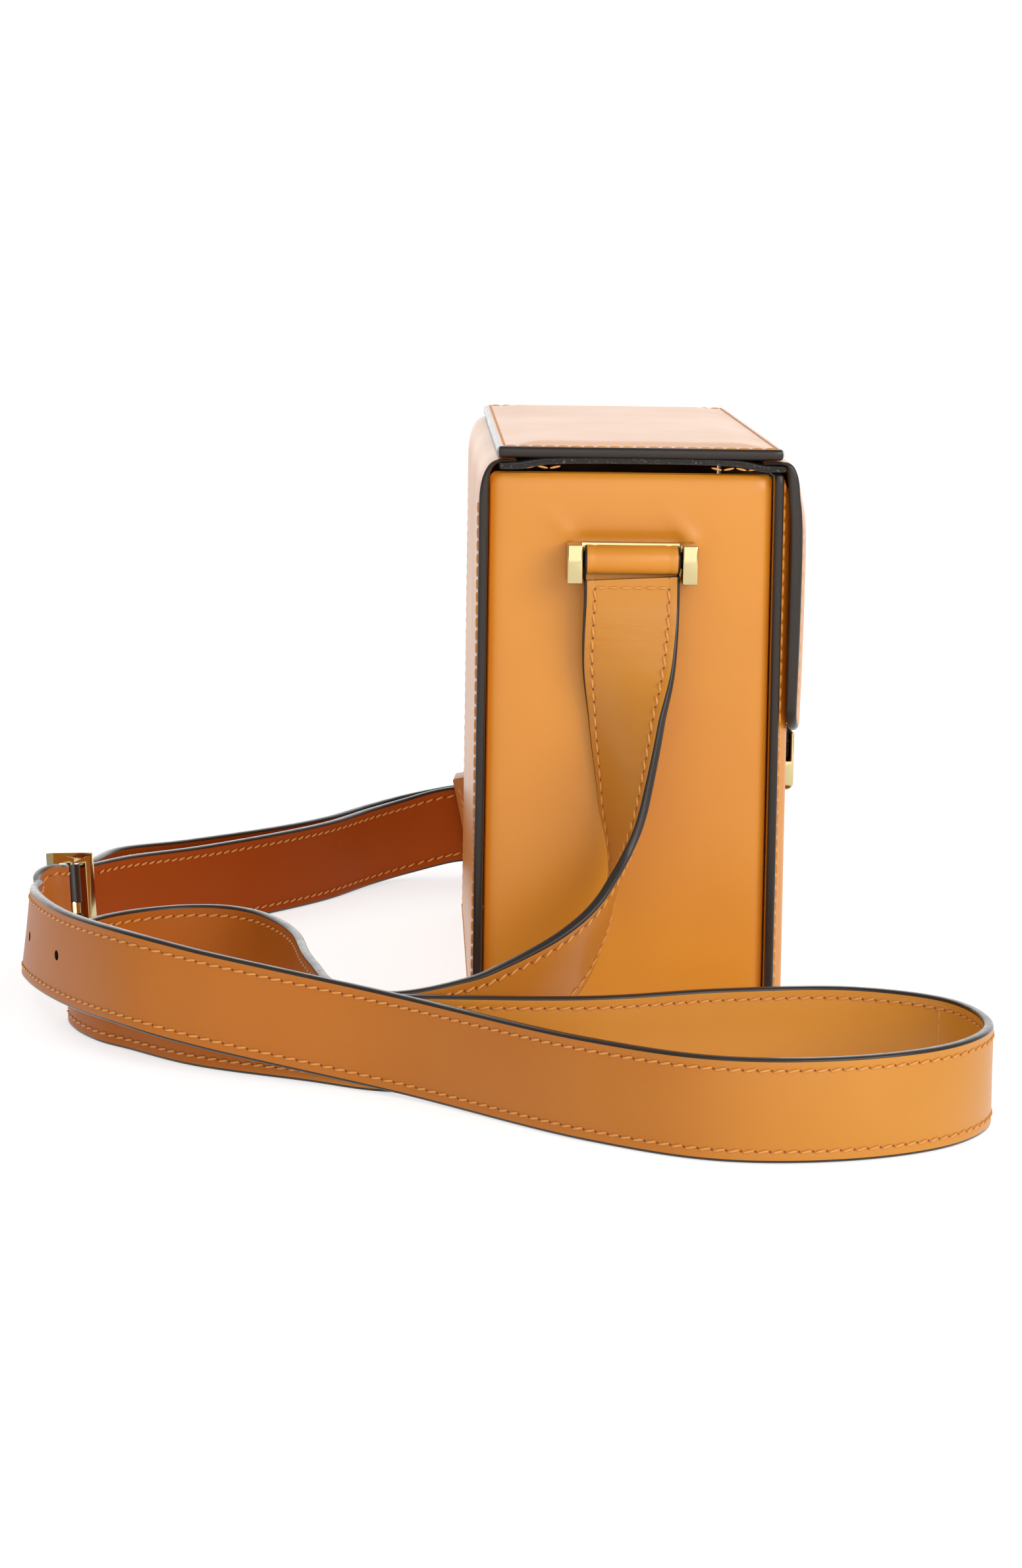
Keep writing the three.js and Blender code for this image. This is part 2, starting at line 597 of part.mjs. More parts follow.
const hangY = halfLength - SIDE_INSET + HANG_OUT;
const hangTop = bracketZ + BAR_RISE - BAR_RADIUS - LOOP_WALL - 2 * CLEARANCE;
const layerStep = STRAP_WALL + LAYER_GAP;
const buckleHeight = STRAP_WIDTH + 2 * SIDE_PLAY + 2 * BUCKLE_RAIL;
const buckleTurn = THREE.MathUtils.degToRad(BUCKLE_TURN);
const bucklePitch = THREE.MathUtils.degToRad(BUCKLE_PITCH);
const buckleLean = THREE.MathUtils.degToRad(BUCKLE_LEAN);
const buckleLevel = new THREE.Vector3(-Math.cos(buckleTurn), Math.sin(buckleTurn), 0);
const buckleAlong = Z_AXIS.clone().applyAxisAngle(buckleLevel, Math.PI / 2 + bucklePitch);
const buckleOut = buckleLevel.clone().applyAxisAngle(buckleAlong, -buckleLean);
const buckleUp = buckleAlong.clone().cross(buckleOut);
const buckleCentre = new THREE.Vector3(
  BUCKLE_X * halfDepth,
  BUCKLE_Y * halfLength,
  (buckleHeight * buckleUp.z + BUCKLE_LENGTH * Math.abs(buckleAlong.z) + BUCKLE_WALL * Math.abs(buckleOut.z)) / 2,
);
const buckleLoopRadius = CENTRE_BAR_RADIUS + CLEARANCE + BUCKLE_LOOP_WALL;

function atBuckle(along, out) {
  return buckleCentre.clone().addScaledVector(buckleAlong, along).addScaledVector(buckleOut, out);
}

// One station of a strap: its middle and the direction of its width.
function station({ x, out, rise, swing, stand: upright, layer }, side) {
  const level = THREE.MathUtils.degToRad(swing);
  const lift = THREE.MathUtils.degToRad(upright);
  return {
    at: new THREE.Vector3(
      x * halfDepth,
      side * (hangY + out * halfLength + layer * layerStep),
      THREE.MathUtils.lerp(STRAP_WIDTH / 2, hangTop, rise),
    ),
    width: new THREE.Vector3(
      Math.cos(level) * Math.cos(lift),
      side * Math.sin(level) * Math.cos(lift),
      Math.sin(lift),
    ),
  };
}

const upright = (at) => ({ at, width: Z_AXIS.clone() });
const inBuckle = (along, out) => ({ at: atBuckle(along, out), width: buckleUp.clone() });

// Stations close enough together for a smooth strap, each with its along, width and face directions.
function strapFrames(stations) {
  const middle = new THREE.CatmullRomCurve3(stations.map(({ at }) => at), false, 'centripetal');
  const widths = new THREE.CatmullRomCurve3(stations.map(({ width }) => width), false, 'catmullrom', 0.4);
  const last = stations.length - 1;
  const frames = [];
  for (let i = 0; i < last; i += 1) {
    const span = stations[i].at.distanceTo(stations[i + 1].at);
    const pieces = Math.max(2, Math.ceil(span / STRAP_STEP));
    for (let k = 0; k < pieces + (i === last - 1 ? 1 : 0); k += 1) {
      const t = (i + k / pieces) / last;
      const along = middle.getTangent(t);
      const width = widths.getPoint(t);
      width.addScaledVector(along, -width.dot(along)).normalize();
      frames.push({ at: middle.getPoint(t), along, width, face: along.clone().cross(width) });
    }
  }
  let run = 0;
  frames.forEach((frame, i) => {
    if (i > 0) run += frame.at.distanceTo(frames[i - 1].at);
    frame.run = run;
  });
  return frames;
}

function frameAt(frames, run) {
  const i = Math.max(1, frames.findIndex((frame) => frame.run >= run));
  const [a, b] = [frames[i - 1], frames[i]];
  const share = (run - a.run) / (b.run - a.run);
  const blend = (key) => a[key].clone().lerp(b[key], share);
  const along = blend('along').normalize();
  const width = blend('width').normalize();
  return { at: blend('at'), along, width, face: along.clone().cross(width) };
}

// The strap's section, a bar with its four edges taken off.
function strapSection() {
  const half = STRAP_WALL / 2;
  const side = STRAP_WIDTH / 2;
  return [
    [half, side - STRAP_EDGE], [half - STRAP_EDGE, side], [-half + STRAP_EDGE, side],
    [-half, side - STRAP_EDGE], [-half, -side + STRAP_EDGE], [-half + STRAP_EDGE, -side],
    [half - STRAP_EDGE, -side], [half, -side + STRAP_EDGE],
  ];
}

function strapSkin(frames) {
  return loft(frames.map(({ at, width, face }) => strapSection().map(([f, w]) =>
    at.clone().addScaledVector(face, f).addScaledVector(width, w))));
}

// A rod between two points.
function rodBetween(start, end, radius, sides = 12) {
  const run = end.clone().sub(start);
  const turn = new THREE.Quaternion().setFromUnitVectors(Y_AXIS, run.clone().normalize());
  const middle = start.clone().add(end).multiplyScalar(0.5);
  return rod(radius, run.length(), sides).applyQuaternion(turn).translate(middle.x, middle.y, middle.z);
}

const passInner = BUCKLE_WALL / 2 + CLEARANCE + STRAP_WALL / 2;
const passOuter = buckleLoopRadius + CLEARANCE + STRAP_WALL / 2;
const halfBuckle = BUCKLE_LENGTH / 2;
const shortStart = buckleLoopRadius + 2 * CLEARANCE;
const shortTilt = Math.atan2(passInner + 0.1 - SHORT_END_OUT, halfBuckle - FAR_BAR - shortStart);
const shortOffset = SHORT_END_OUT * Math.cos(shortTilt) - shortStart * Math.sin(shortTilt);
const buckleTailAt = shortOffset + STRAP_WALL / 2 + 3 * CLEARANCE + BUCKLE_LOOP_WALL / 2;

const prongStart = atBuckle(-CENTRE_BAR_RADIUS - CLEARANCE, CENTRE_BAR_RADIUS + PRONG_WALL / 2);
const prongEnd = atBuckle(-halfBuckle + 1, BUCKLE_WALL / 2 + 1.5 * CLEARANCE + PRONG_RADIUS);

// The short strap runs from the buckle's centre bar, over the far bar and round to the far bracket.
function shortStations() {
  return [
    inBuckle(shortStart, SHORT_END_OUT),
    inBuckle(halfBuckle - FAR_BAR, passInner + 0.1),
    inBuckle(halfBuckle, passInner + 0.1),
    ...FAR_ROUTE.map((row) => station(row, 1)),
  ];
}

// The long strap passes inside the near bar, up through the frame, over the loop on the centre bar
// and on as a loose tail outside the short strap.
function longStations(short, keeperRun) {
  const start = short.find((frame) => frame.at.distanceTo(atBuckle(halfBuckle, passInner)) < 1).run;
  const tail = TAIL_BOW.map(({ along, bow }) => {
    const frame = frameAt(short, start + along * (keeperRun - start));
    return upright(frame.at.addScaledVector(frame.face, -layerStep - bow * STRAP_WIDTH));
  });
  const held = [-0.5, 0.5].map((share) => {
    const frame = frameAt(short, keeperRun + share * KEEPER_LENGTH);
    return upright(frame.at.addScaledVector(frame.face, -layerStep));
  });
  const leaving = frameAt(short, keeperRun + KEEPER_LENGTH / 2);
  const end = held[1].at.clone().addScaledVector(leaving.along, TAIL_PAST_KEEPER)
    .addScaledVector(leaving.face, -LAYER_GAP);
  return [
    ...NEAR_ROUTE.map((row) => station(row, -1)),
    inBuckle(-halfBuckle * 1.45, -passInner - 2 * CLEARANCE),
    inBuckle(-halfBuckle, -passInner - CLEARANCE),
    inBuckle(-halfBuckle + 0.9 * NEAR_BAR, -passInner - CLEARANCE),
    inBuckle(-halfBuckle * 0.49, -CLEARANCE),
    inBuckle(-passOuter * 0.98, passOuter * 0.69),
    inBuckle(0, passOuter + 2 * CLEARANCE),
    inBuckle(halfBuckle * 0.3, passOuter + 2.25),
    inBuckle(halfBuckle * 0.55, passOuter + 2.5),
    inBuckle(halfBuckle, passInner + layerStep + 0.25),
    ...tail,
    ...held,
    upright(end),
  ];
}

function makeStraps() {
  const short = strapFrames(shortStations());
  const past = short.findIndex((frame) => frame.at.x >= KEEPER_X * halfDepth && frame.along.x > 0);
  const [before, after] = [short[past - 1], short[past]];
  const keeperRun = THREE.MathUtils.mapLinear(KEEPER_X * halfDepth, before.at.x, after.at.x, before.run, after.run);
  part('strap_short', strapSkin(short), TAN);

  const long = strapFrames(longStations(short, keeperRun));
  let solid = toSolid(strapSkin(long));
  solid = solid.subtract(toSolid(rodBetween(prongStart, prongEnd, PRONG_RADIUS + CLEARANCE)));
  const prongMiddle = prongStart.clone().lerp(prongEnd, 0.35);
  const prongRun = long.reduce((best, frame) =>
    (frame.at.distanceTo(prongMiddle) < best.at.distanceTo(prongMiddle) ? frame : best)).run;
  for (let k = -HOLES_BEFORE; k <= HOLES_AFTER; k += 1) {
    if (k !== 0) {
      const { at, face } = frameAt(long, prongRun + k * HOLE_PITCH);
      const reach = STRAP_WALL;
      solid = solid.subtract(toSolid(rodBetween(
        at.clone().addScaledVector(face, -reach), at.clone().addScaledVector(face, reach), HOLE_RADIUS)));
    }
  }
  part('strap_long', fromSolid(solid), TAN);
  makeKeeper(frameAt(short, keeperRun));
}

function rectangle(width, height) {
  return new THREE.Shape([
    new THREE.Vector2(-width / 2, -height / 2), new THREE.Vector2(width / 2, -height / 2),
    new THREE.Vector2(width / 2, height / 2), new THREE.Vector2(-width / 2, height / 2),
  ]);
}

// The keeper is a closed leather band round the strap's two layers, slipped a little askew.
function makeKeeper({ at, along, face }) {
  const depth = 2 * STRAP_WALL + LAYER_GAP + 2 * KEEPER_PLAY;
  const height = STRAP_WIDTH + 2 * KEEPER_PLAY;
  const band = rectangle(depth + 2 * KEEPER_WALL, height + 2 * KEEPER_WALL);
  band.holes.push(rectangle(depth, height));
  const keeper = part('strap_keeper', slab(band, KEEPER_LENGTH), TAN);
  stand(keeper, face.clone().negate(), Z_AXIS);
  keeper.rotateX(-THREE.MathUtils.degToRad(KEEPER_TILT));
  keeper.position.copy(at).addScaledVector(face, -layerStep / 2);
}

// Lays the loop's section across the centre bar with its tail along the short strap's back.
function loopTurn() {
  const tail = new THREE.Vector3(Math.cos(shortTilt), 0, -Math.sin(shortTilt));
  return new THREE.Matrix4().makeBasis(Y_AXIS.clone().cross(tail), tail.clone().negate(), Y_AXIS);
}

// The buckle's frame stands on the floor with the strap upright in it; a round centre bar crosses
// it, with the strap's loop and the prong's eye on it.
function makeBuckle() {
  const group = new THREE.Group();
  stand(group, buckleAlong, buckleUp);
  group.position.copy(buckleCentre);
  bag.add(group);

  const outline = rectangle(BUCKLE_LENGTH, buckleHeight);
  const shift = (NEAR_BAR - FAR_BAR) / 2;
  const inner = new THREE.Shape([
    [-1, -1], [1, -1], [1, 1], [-1, 1],
  ].map(([sx, sz]) => new THREE.Vector2(
    shift + sx * (BUCKLE_LENGTH - NEAR_BAR - FAR_BAR) / 2, sz * (buckleHeight / 2 - BUCKLE_RAIL))));
  outline.holes.push(inner);
  const frame = toSolid(slab(outline, BUCKLE_WALL));
  const bar = toSolid(rod(CENTRE_BAR_RADIUS, buckleHeight - BUCKLE_RAIL, 12));
  group.updateMatrixWorld(true);
  part('buckle_frame', fromSolid(frame.add(bar)), GOLD, group);

  const eye = toSolid(rod(CENTRE_BAR_RADIUS + CLEARANCE + PRONG_WALL, PRONG_EYE, 12));
  const toGroup = group.matrixWorld.clone().invert();
  const shank = toSolid(rodBetween(prongStart, prongEnd, PRONG_RADIUS).applyMatrix4(toGroup));
  const bore = toSolid(rod(CENTRE_BAR_RADIUS + CLEARANCE, buckleHeight, 12));
  part('buckle_prong', fromSolid(eye.add(shank).subtract(bore)), GOLD, group);

  const slot = toSolid(rod(buckleLoopRadius + CLEARANCE, PRONG_EYE + 2 * CLEARANCE, 12));
  const loop = toSolid(slab(loopShape(CENTRE_BAR_RADIUS, BUCKLE_LOOP_WALL, buckleTailAt, BUCKLE_LOOP_TAIL),
    STRAP_WIDTH).applyMatrix4(loopTurn()));
  part('buckle_loop', fromSolid(loop.subtract(slot)), TAN, group);
}

makeBody();
makeBackPanel();
makeLid();
makeFlap();
makeClasp();
makeBrackets();
makeStraps();
makeBuckle();

export default bag;
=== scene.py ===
"""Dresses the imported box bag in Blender: smooth tan leather with painted edges, thread, suede and gold.

Every piece is built in place, in metres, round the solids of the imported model.
"""

import math
from collections import namedtuple

import bmesh
import bpy
from mathutils import Matrix, Vector


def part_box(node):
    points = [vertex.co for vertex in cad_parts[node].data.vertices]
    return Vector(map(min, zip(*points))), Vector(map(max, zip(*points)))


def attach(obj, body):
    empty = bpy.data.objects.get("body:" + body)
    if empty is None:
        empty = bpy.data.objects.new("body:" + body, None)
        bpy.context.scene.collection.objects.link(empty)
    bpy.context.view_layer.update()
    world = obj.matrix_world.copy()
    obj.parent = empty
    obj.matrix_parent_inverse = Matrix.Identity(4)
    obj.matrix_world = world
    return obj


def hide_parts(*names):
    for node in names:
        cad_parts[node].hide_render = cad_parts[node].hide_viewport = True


bl_info = {
    "name": "Box Bag",
    "version": (1, 0, 0),
    "blender": (4, 5, 0),
    "location": "View3D > Sidebar > Box Bag",
    "description": "Builds the looks of a stiff leather box bag round its solids",
    "category": "Object",
}

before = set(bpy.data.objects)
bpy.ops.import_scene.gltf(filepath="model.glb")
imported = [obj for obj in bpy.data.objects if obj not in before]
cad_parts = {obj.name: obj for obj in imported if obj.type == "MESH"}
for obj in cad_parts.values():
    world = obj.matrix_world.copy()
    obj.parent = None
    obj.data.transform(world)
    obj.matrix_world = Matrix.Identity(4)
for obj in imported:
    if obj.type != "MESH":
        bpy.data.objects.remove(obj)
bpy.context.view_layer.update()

MM = 0.001
X, Y, Z = Vector((1, 0, 0)), Vector((0, 1, 0)), Vector((0, 0, 1))

FRONT_LOW, FRONT_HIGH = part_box("front_panel")
BACK_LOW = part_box("back_panel")[0]
SIDE_LOW, SIDE_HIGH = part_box("side_panel_near")
LID_LOW, LID_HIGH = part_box("lid_top")
LINER_LOW, LINER_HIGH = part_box("lid_liner")
FLAP_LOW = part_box("front_flap")[0]
HOOK_LOW, HOOK_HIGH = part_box("clasp_hook")
BRACKET_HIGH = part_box("bracket_near")[1]
LOOP_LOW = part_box("strap_end_loop_near")[0]

HALF_DEPTH = -BACK_LOW.x
HALF_LENGTH = FRONT_HIGH.y
BODY_HEIGHT = FRONT_HIGH.z
CLEARANCE = 0.3 * MM
PANEL_WALL = 2.5 * MM
STITCH_MARGIN = 3.2 * MM

# The panels' covering: corners, rounded rims, and how fine their grids are
BOARD_CORNER = 1.5 * MM
FRONT_EDGE = 0.9 * MM
FRONT_STEPS = (24, 20)
LID_WALL = 3 * MM
LID_EDGE = 1.1 * MM
LID_STEPS = (20, 24)
SIDE_CORNER = 2 * MM
SIDE_EDGE = 0.35 * MM
SIDE_STEPS = (56, 110)
PILLOW_CORNER = 4 * MM
PILLOW_SPARE = 0.45 * MM
FIRM_SHARE = 0.62
SHEET_ROUND = 0.9 * MM
END_STEPS = 4

# The pull above the bracket: two ridges that lean one way, and the hollow between them
RIDGE_WAY = Vector((-0.8, 1.0)) * 6.4 * MM
RIDGE_RISE = 0.8 * MM
RIDGE_WIDTH = 2.2 * MM
HOLLOW_DROP = 0.75 * MM
HOLLOW_WIDTH = 1.8 * MM

# How far in from an edge each row of stitches lies, how its stitches lean and how deep they sit
FRONT_ROW = 2.2 * MM
BACK_ROW = 2.4 * MM
LID_ROW = 2 * MM
FLAP_ROW = 2.6 * MM
PANEL_TILT = 8
STRAP_TILT = 14
KEEPER_ROW_TILT = 12
STITCH_DIP = 0.12 * MM
BOX_ROW_RISE = 0.05 * MM

# The lid, its folds and the flap
FOLD_WALL = 0.9 * MM
CURL_REACH = 5.75 * MM
CURL_DROP = 9.85 * MM
LINER_WALL = 1.4 * MM
LINER_REACH = 13 * MM
FLAP_WALL = 3.2 * MM
FLAP_DOME = 5 * MM
FLAP_BEND_EXTRA = 1.4 * MM
FLAP_CORNER = 7 * MM
TONGUE_WALL = 1.9 * MM
TONGUE_INSET = 3 * MM
TONGUE_HOLD = 14 * MM
HOOK_LIP_WALL = 0.8 * MM
HOOK_BLOCK = 8.1 * MM
HOOK_LIP = 16.2 * MM

# The strap, its brackets and its buckle
SIDE_INSET = 1 * MM
BRACKET_Z = 131.4 * MM
BAR_RADIUS = 2.2 * MM
BAR_RISE = 1 * MM
BAR_REACH = 6.6 * MM
HANG_OUT = 7.6 * MM
STRAP_WIDTH = 25.4 * MM
STRAP_WALL = 2.5 * MM
LOOP_WALL = 1.4 * MM
SIDE_PLAY = 0.5 * MM
LAYER_GAP = 0.8 * MM
HOLE_RADIUS = 1.4 * MM
HOLE_PITCH = 28 * MM
HOLES_BEFORE = 3
HOLES_AFTER = 2
TAIL_PAST_KEEPER = 9 * MM
BUCKLE_LENGTH = 24 * MM
BUCKLE_RAIL = 3 * MM
NEAR_BAR = 3.5 * MM
FAR_BAR = 5 * MM
BUCKLE_WALL = 2.2 * MM
CENTRE_BAR_RADIUS = 1.2 * MM
BUCKLE_X = -3.847
BUCKLE_Y = 0.014
BUCKLE_TURN = math.radians(24.1)
BUCKLE_PITCH = math.radians(9.2)
BUCKLE_LEAN = math.radians(9.8)
BUCKLE_LOOP_WALL = 1.2 * MM
PRONG_RADIUS = 0.9 * MM
PRONG_WALL = 0.8 * MM
SHORT_END_OUT = 0.35 * MM
KEEPER_X = -0.87
KEEPER_TILT = math.radians(12)
KEEPER_LENGTH = 9 * MM
KEEPER_WALL = 2 * MM
KEEPER_PLAY = 1.6 * MM
STRAP_STEP = 1.8 * MM

# The back panel's curl, as shares of its reach, its drop and the wall
Curl = namedtuple("Curl", "forward down wall")
CURL = [Curl(*row) for row in (
    (0, 1, 1),
    (0.026, 0.7, 0.88),
    (0.07, 0.49, 0.72),
    (0.183, 0.29, 0.6),
    (0.357, 0.127, 0.5),
    (0.635, 0.025, 0.4),
    (1, 0, 0.36),
    (1.45, 0, 0.24),
)]
Drop = namedtuple("Drop", "along drop")
LINER = [Drop(*row) for row in (
    (0, 1),
    (0.4, 0.95),
    (0.72, 0.4),
    (1, 0),
)]
# The flap's section: out and down as shares of the bend, then shares of its hanging length
Bend = namedtuple("Bend", "out down wall dome")
FLAP_BEND = [Bend(*row) for row in (
    (-1.5, 0, 0.29, 0),
    (-0.3, 0, 0.29, 0),
    (0.22, 0.05, 0.38, 0),
    (0.48, 0.22, 0.55, 0.03),
    (0.64, 0.55, 0.75, 0.14),
    (0.73, 1, 0.9, 0.36),
)]
Hang = namedtuple("Hang", "share out wall dome")
FLAP_HANG = [Hang(*row) for row in (
    (0.06, 0.8, 0.95, 0.66),
    (0.13, 0.92, 1, 0.86),
    (0.22, 0.99, 1.03, 0.97),
    (0.5, 0.99, 1, 1),
    (0.8, 0.92, 0.97, 1),
    (1, 0.87, 0.9, 0.98),
)]
Side = namedtuple("Side", "inward dome")
FLAP_SIDES = [Side(*row) for row in (
    (0, 0),
    (0.015, 0.06),
    (0.035, 0.15),
    (0.06, 0.25),
    (0.1, 0.39),
    (0.165, 0.53),
    (0.28, 0.72),
    (0.45, 0.91),
    (0.7, 0.98),
    (1, 1),
)]
# Where the flap's sections stand, as shares of the way from its end to its middle
FLAP_STATIONS = (0.02, 0.035, 0.05, 0.07, 0.1, 0.13, 0.165, 0.22, 0.28, 0.36, 0.45, 0.57, 0.7, 0.85, 1.0)
# The strap's route. x is a share of half the bag's depth, out a share of half its length from the
# plane in which the strap hangs, rise a share of the way up to the bracket, swing and stand the
# turns of its width in degrees, and layer counts the straps that lie between.
Stop = namedtuple("Stop", "x out rise swing stand layer")
NEAR_ROUTE = [Stop(*row) for row in (
    (0, 0, 1, 0, 0, 0),
    (0, 0, 0.93, 0, 0, 0),
    (-0.01, 0.015, 0.82, 15, 0, 0),
    (-0.025, 0.034, 0.669, 44, 0, 0),
    (-0.037, 0.062, 0.479, 66, 3, 0),
    (-0.062, 0.105, 0.346, 86, 14, 0),
    (-0.18, 0.208, 0.244, 95, 34, 0),
    (-0.38, 0.298, 0.16, 98, 55, 0),
    (-0.84, 0.399, 0.055, 98, 80, 0),
    (-1.08, 0.433, 0.025, 98, 88, 0),
    (-1.48, 0.448, 0, 98, 90, 0),
    (-1.7, 0.418, 0, 98, 90, 0),
    (-1.9, 0.325, 0, 98, 90, 0),
    (-2.035, 0.08, 0, 98, 90, 0),
    (-2.106, -0.084, 0, 98, 90, 0),
    (-2.195, -0.365, 0, 98, 90, 0),
    (-2.316, -0.534, 0, 98, 90, 0),
    (-2.5, -0.68, 0, 98, 90, 0),
    (-2.72, -0.75, 0, 98, 90, 0),
    (-3, -0.75, 0, 98, 90, 0),
    (-3.36, -0.662, 0, 98, 90, 0),
    (-3.62, -0.52, 0, 98, 90, 0),
    (-3.7, -0.38, 0, 98, 90, 0),
    (-3.64, -0.245, 0, 98, 90, 0),
    (-3.45, -0.09, 0, 98, 90, 0),
    (-3.25, 0, 0, 98, 90, 0),
    (-2.79, 0.16, 0, 98, 90, 1),
    (-2.03, 0.336, 0, 98, 90, 1),
    (-1.63, 0.433, 0, 98, 90, 1),
    (-1.26, 0.455, 0, 98, 90, 1),
    (-0.27, 0.452, 0, 98, 90, 1),
    (0.583, 0.34, 0, 98, 90, 1),
    (1.43, 0.306, 0, 98, 90, 1),
    (1.99, 0.452, 0, 98, 90, 1),
    (2.13, 0.737, 0, 98, 90, 1),
    (1.842, 0.936, 0, 98, 90, 2),
    (1.21, 1.093, 0, 98, 90, 2),
    (0.43, 1.111, 0, 98, 90, 2),
    (-0.328, 0.92, 0, 98, 90, 2),
    (-1.519, 0.448, 0.009, 98, 90, 2),
    (-2.783, 0.22, 0.064, 98, 90, 2),
    (-3.227, 0.105, 0.085, 98, 90, 2),
    (-3.684, -0.188, 0.082, 98, 90, 2),
    (-3.985, -0.53, 0.076, 180, 94, 2),
    (-4.05, -0.86, 0.055, 180, 96, 2),
)]
FAR_ROUTE = [Stop(*row) for row in (
    (-3.52, -0.69, 0.017, 98, 90, 0),
    (-3.035, -0.41, 0.003, 98, 90, 0),
    (-2.405, -0.084, 0, 98, 90, 0),
    (-2.054, 0.129, 0, 98, 90, 0),
    (-1.743, 0.354, 0.006, 98, 90, 0),
    (-1.425, 0.495, 0.02, 98, 90, 0),
    (-1.1, 0.548, 0.043, 98, 90, 0),
    (-0.8, 0.55, 0.055, 98, 90, 0),
    (-0.5, 0.5, 0.08, 98, 82, 0),
    (-0.27, 0.39, 0.15, 98, 60, 0),
    (-0.13, 0.26, 0.25, 95, 34, 0),
    (-0.06, 0.13, 0.36, 86, 14, 0),
    (-0.035, 0.062, 0.5, 66, 3, 0),
    (-0.025, 0.034, 0.669, 44, 0, 0),
    (-0.01, 0.015, 0.82, 15, 0, 0),
    (0, 0, 0.93, 0, 0, 0),
    (0, 0, 1, 0, 0, 0),
)]
# The loose tail's bow between the buckle and the keeper, as shares of that stretch and of the width
Bow = namedtuple("Bow", "along bow")
TAIL_BOW = [Bow(*row) for row in (
    (0.08, 0.12),
    (0.18, 0.34),
    (0.33, 0.31),
    (0.55, 0.16),
    (0.68, 0.07),
    (0.8, 0.04),
    (0.88, 0.03),
)]


def linear(code):
    """An sRGB hex value as linear red, green, blue and alpha."""
    channels = [int(code[i:i + 2], 16) / 255 for i in (0, 2, 4)]
    return [c / 12.92 if c <= 0.04045 else ((c + 0.055) / 1.055) ** 2.4 for c in channels] + [1.0]


class BagSizes(bpy.types.PropertyGroup):
    """Sizes of the finish that a user would change."""

    stitch_pitch: bpy.props.FloatProperty(
        name="Stitch pitch", description="Distance from one stitch to the next",
        default=3.4 * MM, unit="LENGTH")
    stitch_length: bpy.props.FloatProperty(
        name="Stitch length", description="Length of the thread that shows in one stitch",
        default=3.0 * MM, unit="LENGTH")
    thread: bpy.props.FloatProperty(
        name="Thread", description="Thickness of the waxed thread", default=0.75 * MM, unit="LENGTH")
    stitch_margin: bpy.props.FloatProperty(
        name="Stitch margin", description="Distance from a strap's edge to its stitches",
        default=2.9 * MM, unit="LENGTH")
    edge_round: bpy.props.FloatProperty(
        name="Edge rounding", description="Radius of a painted edge's corners",
        default=0.8 * MM, unit="LENGTH")
    pillow_depth: bpy.props.FloatProperty(
        name="Pillow depth", description="How far a side panel's padding rises",
        default=3.2 * MM, unit="LENGTH")
    pillow_run: bpy.props.FloatProperty(
        name="Pillow run", description="How far in from its edge the padding reaches its height",
        default=5.5 * MM, unit="LENGTH")


class BagColours(bpy.types.PropertyGroup):
    """Colours of the bag's materials."""

    leather: bpy.props.FloatVectorProperty(
        name="Leather", description="Dyed smooth calf leather", subtype="COLOR", size=4,
        default=linear("D18826"))
    leather_deep: bpy.props.FloatVectorProperty(
        name="Leather, deep", description="The leather where its dye lies thicker", subtype="COLOR",
        size=4, default=linear("C67B1E"))
    strap: bpy.props.FloatVectorProperty(
        name="Strap leather", description="The strap's leather, dyed a little darker",
        subtype="COLOR", size=4, default=linear("C4832B"))
    strap_deep: bpy.props.FloatVectorProperty(
        name="Strap leather, deep", description="The strap's leather where its dye lies thicker",
        subtype="COLOR", size=4, default=linear("BA7824"))
    # Painted shade: the colour that the strap's dye darkens towards on the stretches that lie in shade.
    strap_worn: bpy.props.FloatVectorProperty(
        name="Strap leather, worn", description="The strap's leather where it was bent and handled",
        subtype="COLOR", size=4, default=linear("9C4616"))
    # Painted shade inside the stitch holes.
    pit: bpy.props.FloatVectorProperty(
        name="Stitch hole", description="The dark inside of a stitch hole", subtype="COLOR", size=4,
        default=linear("6E3512"))
    edge_paint: bpy.props.FloatVectorProperty(
        name="Edge paint", description="Dark brown edge paint", subtype="COLOR", size=4,
        default=linear("261D16"))
    thread: bpy.props.FloatVectorProperty(
        name="Thread", description="Waxed thread", subtype="COLOR", size=4, default=linear("D6954F"))
    gold: bpy.props.FloatVectorProperty(
        name="Gold", description="Pale gold plating", subtype="COLOR", size=4,
        default=linear("CDBB8A"))
    suede: bpy.props.FloatVectorProperty(
        name="Suede", description="Black suede", subtype="COLOR", size=4, default=linear("1E1A17"))


def sizes():
    return bpy.context.scene.bag_sizes


def colours():
    return bpy.context.scene.bag_colours


# Materials

def feed(tree, node, inputs):
    """Sets a node's inputs. Each is a value, or the node and output that feed it."""
    for key, value in inputs.items():
        if isinstance(value, tuple) and isinstance(value[0], bpy.types.Node):
            tree.links.new(value[0].outputs[value[1]], node.inputs[key])
        else:
            node.inputs[key].default_value = value


def add(tree, kind, inputs=(), **settings):
    """Adds one node with its settings and what feeds it."""
    new = tree.nodes.new(kind)
    for key, value in settings.items():
        setattr(new, key, value)
    feed(tree, new, dict(inputs))
    return new


def new_material(name):
    """A material with an empty node tree and its Principled shader, joined to the output."""
    material = bpy.data.materials.new(name)
    material.use_nodes = True
    tree = material.node_tree
    tree.nodes.clear()
    output = tree.nodes.new("ShaderNodeOutputMaterial")
    shader = tree.nodes.new("ShaderNodeBsdfPrincipled")
    tree.links.new(shader.outputs["BSDF"], output.inputs["Surface"])
    return material, tree, shader


def once(make):
    """Makes a material the first time that it is asked for."""
    def get():
        return bpy.data.materials.get(make.__name__) or make(make.__name__)
    return get


